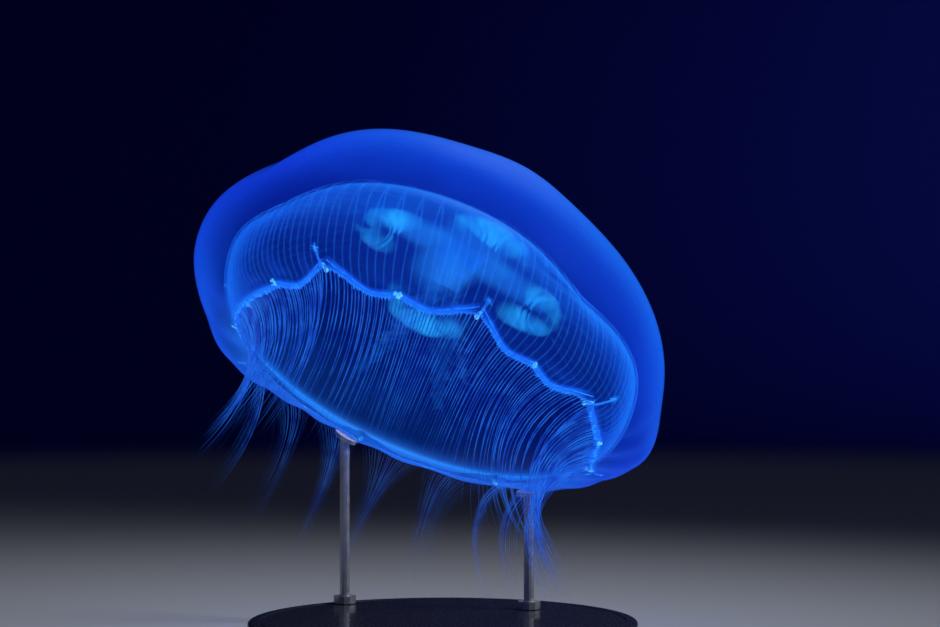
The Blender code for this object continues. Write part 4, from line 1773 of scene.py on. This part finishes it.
@dataclass
class MouthParts:
    """The mouth stalk and its four ruffled oral arms."""

    shop: Workshop
    arms: int = 4
    shift: Pair = STOMACH_SHIFT
    first: float = math.radians(10)
    stalk_top: float = 0.011
    stalk_foot: float = 0.0065
    stalk_waist: float = 0.18
    stalk_ridge: float = 0.16
    stalk_fold: float = 0.05
    stalk_folds: int = 4
    stalk_twist: float = 5.0
    stalk_round: float = 0.06
    stalk_tip: float = 0.02
    stalk_grid: tuple[int, int] = (26, 64)
    stalk_length: float = 0.014
    stalk_drop: float = 0.0016
    arm_gap: float = 0.0004
    arm_length: float = 0.046
    root_reach: float = 0.0052
    spread: float = 0.019
    spread_power: float = 1.3
    arm_slack: float = 0.12
    widths: Triple = (0.0055, 0.011, 0.004)
    widest_at: float = 0.35
    ruffle: float = 0.0019
    ruffle_turn: float = 46.0
    ruffle_slant: float = 4.0
    ruffle_fine: Triple = (0.45, 2.3, 1.0)
    ruffle_power: int = 2
    keel: float = 0.25
    keel_power: float = 1.5
    thickness: float = 0.00055
    rows: int = 110
    columns: int = 17
    seed: int = 21

    def axis(self, depth: float) -> Array:
        """Returns a point of the mouth stalk's axis.

        Args:
            depth: How far it lies under the roof.

        Returns:
            The point, in the animal's frame.
        """
        form = self.shop.form
        level = math.sqrt(1 - (math.hypot(*self.shift) / form.cavity_radius) ** 2)
        height = form.widest + (form.roof - form.widest) * level
        return form.bent(np.array([[*self.shift, height]]), Side.INNER)[0] - UP * depth

    def _stalk(self) -> None:
        """Makes the four-ridged mouth stalk."""
        shop = self.shop
        angle = np.linspace(0, TAU, self.stalk_grid[1], endpoint=False)
        ridge = 1 + self.stalk_ridge * np.cos(self.arms * (angle - self.first - math.pi / self.arms))
        rows = []
        for share in np.linspace(0, 1, self.stalk_grid[0]):
            radius = self.stalk_top + (self.stalk_foot - self.stalk_top) * share
            radius *= 1 - self.stalk_waist * math.sin(math.pi * share)
            radius *= min(1.0, (min(share, 1 - share) / self.stalk_round + self.stalk_tip) ** 0.5)
            phase = self.arms * self.stalk_folds * angle + self.stalk_twist * share
            fold = 1 + self.stalk_fold * np.cos(phase)
            middle = self.axis(self.stalk_drop + self.stalk_length * share)
            rows.append(middle + polar(radius * ridge * fold, angle, 0.0))
        mesh = grid_mesh(shop.bank.place(np.array(rows)))
        shop.piece("mouth_stalk", fill_ends(mesh), "stalk", "oral_arm", "manubrium")

    def _width(self, share: Array) -> Array:
        """Returns the width of an arm.

        Args:
            share: 0 at the arm's root and 1 at its tip.

        Returns:
            The widths.
        """
        root, middle, tip = self.widths
        widening = (middle - root) * smooth_step(0, self.widest_at, share)
        return root + widening - (middle - tip) * smooth_step(self.widest_at, 1, share)

    def _arm(self, index: int) -> None:
        """Makes one oral arm, a trough whose two edges are thrown into ruffles.

        Args:
            index: Which arm.
        """
        angle = self.first + (index + 0.5) * TAU / self.arms
        outward, across = polar(1.0, angle + np.array([0.0, math.pi / 2]), 0.0)
        share, side = np.linspace(0, 1, self.rows)[:, None], np.linspace(-1, 1, self.columns)
        start = self.axis(self.stalk_length + self.stalk_drop + self.arm_gap)
        middle = start + outward * (self.root_reach + self.spread * share**self.spread_power)
        middle = middle - UP * self.arm_length * share * (1 - self.arm_slack * share)
        width = self._width(share)
        phase = np.random.default_rng(self.seed + index).uniform(0, TAU, 2)
        waves = np.where(side < 0, *phase) + self.ruffle_turn * share + self.ruffle_slant * side
        part, rate, offset = self.ruffle_fine
        waves = np.sin(waves) + part * np.sin(rate * waves + offset)
        lift = self.ruffle * waves * np.abs(side) ** self.ruffle_power
        lift = lift - self.keel * width * (1 - np.abs(side) ** self.keel_power)
        rows = middle[:, None] + across * (side * width / 2)[..., None] + outward * lift[..., None]
        mesh = thickened(grid_mesh(self.shop.bank.place(rows), wrap=False), self.thickness)
        self.shop.piece(f"oral_ruffle_{index + 1}", mesh, "arm", "oral_arm", f"oral_arm_{index + 1}")

    def build(self) -> None:
        """Makes the stalk and the arms."""
        self._stalk()
        for index in range(self.arms):
            self._arm(index)


@dataclass
class Stand:
    """The display stand: a turned base and the two rods under the bell."""

    shop: Workshop
    radius: float = 0.074
    thickness: float = 0.008
    round_over: float = 0.0012
    groove: Triple = (0.0030, 0.0040, 0.0003)
    groove_bevel: float = 0.0002
    top_rings: Pair = (0.010, 0.030)
    under_ring: float = 0.5
    corner_points: int = 6
    hub: float = 0.001
    sides: int = 160
    sharp_from: float = math.radians(35)
    rods: tuple[str, ...] = ("stand_rod_left", "stand_rod_right")

    def _base(self) -> None:
        """Makes the base, a disc with rounded edges and a shallow groove near its rim."""
        top, edge = self.thickness, self.radius - self.round_over
        lower, upper = [], []
        for turn in np.linspace(0, math.pi / 2, self.corner_points):
            near, far = self.round_over * math.cos(turn), self.round_over * math.sin(turn)
            lower.append((edge + far, self.round_over - near))
            upper.append((edge + near, top - self.round_over + far))
        first, last, deep = self.groove
        bevel = self.groove_bevel
        groove = [(edge - first, top), (edge - first - bevel, top - deep)]
        groove += [(edge - last + bevel, top - deep), (edge - last, top)]
        line = [(self.hub, 0.0), (edge * self.under_ring, 0.0), *lower, *upper, *groove]
        line += [(edge - self.top_rings[0], top), (self.top_rings[1], top), (self.hub, top)]
        mesh = turned_mesh(line, self.sides)
        piece = mesh_object("stand_disc", fill_ends(mesh), self.shop.materials["stand"])
        mesh.set_sharp_from_angle(angle=self.sharp_from)
        self.shop.declare(piece, "stand", "stand_base")

    def build(self) -> None:
        """Makes the base and dresses the rods."""
        for name in self.rods:
            bpy.data.objects[name].material_slots[0].material = self.shop.materials["rod"]
            LOG.info("%s: finish set", name)
        self._base()


def turned_mesh(line: list[Pair], sides: int) -> Mesh:
    """Returns a profile of radii and heights, turned round the upright axis."""
    angle = np.linspace(0, TAU, sides, endpoint=False)
    return grid_mesh(np.array([polar(radius, angle, height) for radius, height in line]))


# ---------------------------------------------------------------------------------------------
# The studio
# ---------------------------------------------------------------------------------------------


@dataclass(frozen=True)
class Lamp:
    """A wide soft lamp: its power in watts, its place, its cone in degrees and what it faces."""

    name: str
    power: float
    place: Triple
    cone: float = 40
    aim: Triple | None = None


@dataclass
class Studio:
    """The floor with its swept back, the soft lights and the camera."""

    bank: Bank
    view_distance: float = 0.90
    view_offset: Pair = (0.0203, 0.0253)
    frame_width: float = 0.34686
    sensor: float = 36.0
    nearest: float = 0.02
    floor_tone: Colour = (0.72, 0.75, 0.80)
    wall_tone: Colour = (0.020, 0.040, 0.600)
    dark_from: Pair = (1.0, 1.5)
    grain: float = 0.02
    grain_scale: float = 40.0
    grain_detail: float = 4.0
    paper_roughness: float = 0.9
    paper_shine: float = 0.1
    floor_radius: float = 1.5
    sweep_radius: float = 0.5
    wall_height: float = 2.0
    floor_hub: float = 0.02
    floor_rings: tuple[int, int] = (24, 16)
    sides: int = 96
    sky_tint: Colour = (0.80, 0.88, 1.0)
    sky_strength: float = 0.025
    lamp_radius: float = 0.25
    lamp_tint: Colour = (0.95, 0.97, 1.0)
    lamps: tuple[Lamp, ...] = (
        Lamp("key", 26.0, (0.95, -0.20, 0.80)),
        Lamp("fill", 1.2, (-0.9, -0.6, 0.9)),
        Lamp("back", 7.0, (0.35, 0.75, 0.9)),
        Lamp("wall", 5.0, (1.0, 0.8, 0.9), 70, (0.75, 2.0, 0.30)),
    )
    clear_bounces: int = 160
    bounces: int = 5

    def _paper(self) -> Material:
        """Makes the backdrop's paper, pale on the floor round the stand and dark towards the wall.

        Returns:
            The material.
        """
        material = bpy.data.materials.new("studio_paper")
        material.use_nodes = True
        graph = Graph(material.node_tree)
        place = graph.add("ShaderNodeTexCoord").outputs["Object"]
        away = graph.add("ShaderNodeVectorMath", {0: place}, operation="LENGTH").outputs["Value"]
        noise = {"Vector": place, "Scale": self.grain_scale, "Detail": self.grain_detail}
        grain = graph.add("ShaderNodeTexNoise", noise).outputs["Fac"]
        worn = graph.math("MULTIPLY_ADD", graph.math("SUBTRACT", grain, 0.5), self.grain, away)
        colour = graph.blend(graph.ramp(worn, *self.dark_from), self.floor_tone, self.wall_tone)
        shade = material.node_tree.nodes["Principled BSDF"].inputs
        graph.feed(shade["Base Color"], colour)
        graph.feed(shade["Roughness"], self.paper_roughness)
        graph.feed(shade["Specular IOR Level"], self.paper_shine)
        return material

    def _backdrop(self) -> None:
        """Makes the round floor, which sweeps up into a wall all round."""
        flat, swept = self.floor_rings
        line = [(radius, 0.0) for radius in np.linspace(self.floor_hub, self.floor_radius, flat)]
        for turn in np.linspace(0, math.pi / 2, swept)[1:]:
            rise = self.sweep_radius * (1 - math.cos(turn))
            line.append((self.floor_radius + self.sweep_radius * math.sin(turn), rise))
        line.append((self.floor_radius + self.sweep_radius, self.wall_height))
        mesh = fill_ends(turned_mesh(line, self.sides), first_only=True)
        mesh_object("floor", mesh, self._paper())

    def _light(self, lamp: Lamp) -> None:
        """Adds one lamp.

        Args:
            lamp: The lamp.
        """
        data = bpy.data.lights.new(lamp.name, "SPOT")
        data.energy = lamp.power
        data.shadow_soft_size = self.lamp_radius
        data.spot_size = math.radians(lamp.cone)
        data.spot_blend = 1.0
        data.color = self.lamp_tint
        light = bpy.data.objects.new(lamp.name, data)
        light.location = lamp.place
        ray = Vector(lamp.aim or self.bank.mouth_centre) - light.location
        light.rotation_euler = ray.to_track_quat("-Z", "Y").to_euler()
        bpy.context.scene.collection.objects.link(light)

    def _world(self) -> None:
        """Sets a plain soft sky light."""
        world = bpy.data.worlds.new("soft_sky")
        world.use_nodes = True
        sky = world.node_tree.nodes["Background"].inputs
        sky["Color"].default_value = (*self.sky_tint, 1.0)
        sky["Strength"].default_value = self.sky_strength
        bpy.context.scene.world = world

    def _camera(self) -> None:
        """Sets the camera level, a little above the middle of the bell."""
        data = bpy.data.cameras.new("camera")
        data.sensor_width = self.sensor
        data.lens = self.sensor * self.view_distance / self.frame_width
        data.clip_start = self.nearest
        data.dof.use_dof = False
        camera = bpy.data.objects.new("camera", data)
        x, y, z = self.bank.mouth_centre
        camera.location = (x + self.view_offset[0], y - self.view_distance, z + self.view_offset[1])
        camera.rotation_euler = (math.pi / 2, 0, 0)
        bpy.context.scene.collection.objects.link(camera)
        bpy.context.scene.camera = camera

    def _view(self) -> None:
        """Keeps the finishes' own colours and lets light pass through all the clear layers."""
        scene = bpy.context.scene
        scene.view_settings.view_transform = "Standard"
        scene.cycles.transparent_max_bounces = self.clear_bounces
        scene.cycles.max_bounces = self.bounces

    def build(self) -> None:
        """Builds the studio."""
        self._backdrop()
        self._world()
        for lamp in self.lamps:
            self._light(lamp)
        self._camera()
        self._view()
        LOG.info("studio ready")


# Each tissue's glow is painted light, an emission in place of light scattered in it; the sense finish's pale
# glow also paints the highlight knobs.
TISSUES = (
    TissueFinish(
        "canal", (0.006, 0.11, 0.60), (0.010, 0.16, 0.75), body_share=0.13, painted_glow=2.2, one_sided=True
    ),
    TissueFinish("margin", (0.008, 0.11, 0.66), (0.020, 0.30, 0.88), 420.0, body_share=0.92),
    TissueFinish("tuft", (0.010, 0.15, 0.72), (0.020, 0.30, 0.88), body_share=0.45),
    TissueFinish(
        "tentacle", (0.005, 0.045, 0.40), (0.012, 0.13, 0.62), body_share=0.58, fade_along=(0.25, 1.0)
    ),
    TissueFinish(
        "gonad", (0.012, 0.28, 0.74), (0.020, 0.44, 0.90), 100.0,
        body_share=0.48, painted_glow=1.25, thins=(0.0, 0.48), fade_along=(0.45, 1.05),
    ),
    TissueFinish(
        "pouch", (0.008, 0.16, 0.60), (0.012, 0.24, 0.72), 70.0, body_share=0.50, fade_along=(0.45, 1.0)
    ),
    TissueFinish("sense", (0.04, 0.40, 0.82), (0.16, 0.66, 0.92), 400.0, body_share=0.95, one_sided=True),
    TissueFinish("stalk", (0.006, 0.12, 0.58), (0.010, 0.20, 0.70), 90.0, body_share=0.28, thins=(0.1, 0.9)),
    TissueFinish("arm", (0.006, 0.10, 0.56), (0.010, 0.18, 0.70), 140.0, body_share=0.06),
)
ACRYLIC = SolidFinish(
    "stand_acrylic", (0.035, 0.038, 0.043), (0.05, 0.053, 0.06), 900.0, (0.22, 0.34), coat=0.6
)
STEEL = SolidFinish(
    "rod_steel", (0.58, 0.59, 0.60), (0.64, 0.65, 0.66), 400.0, (0.42, 0.50), 0.9, relief=(0.000006, 0.4)
)


def make_materials(groups: ShaderGroups) -> dict[str, Material]:
    """Makes every finish of the model.

    Args:
        groups: The shared node groups.

    Returns:
        Finish name to material.
    """
    finishes = {"jelly": JellyFinish(), "stand": ACRYLIC, "rod": STEEL}
    finishes |= {tissue.name: tissue for tissue in TISSUES}
    return {name: finish.build(groups) for name, finish in finishes.items()}


def main() -> None:
    """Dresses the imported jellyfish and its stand."""
    logging.basicConfig(level=logging.INFO, format="%(message)s")
    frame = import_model()
    LOG.info("solids: %d", len(frame["nodes"]))
    bank = Bank()
    shop = Workshop(BellForm(), bank, strand_tree(), bead_tree(), make_materials(ShaderGroups()))
    Studio(bank).build()
    for assembly in (BellSkin, Canals, TentacleFringe, MarginTrim, Gonads, MouthParts, Stand):
        assembly(shop).build()
    for name in CLEAR_PIECES:
        bpy.data.objects[name].visible_shadow = False


if __name__ == "__main__":
    main()
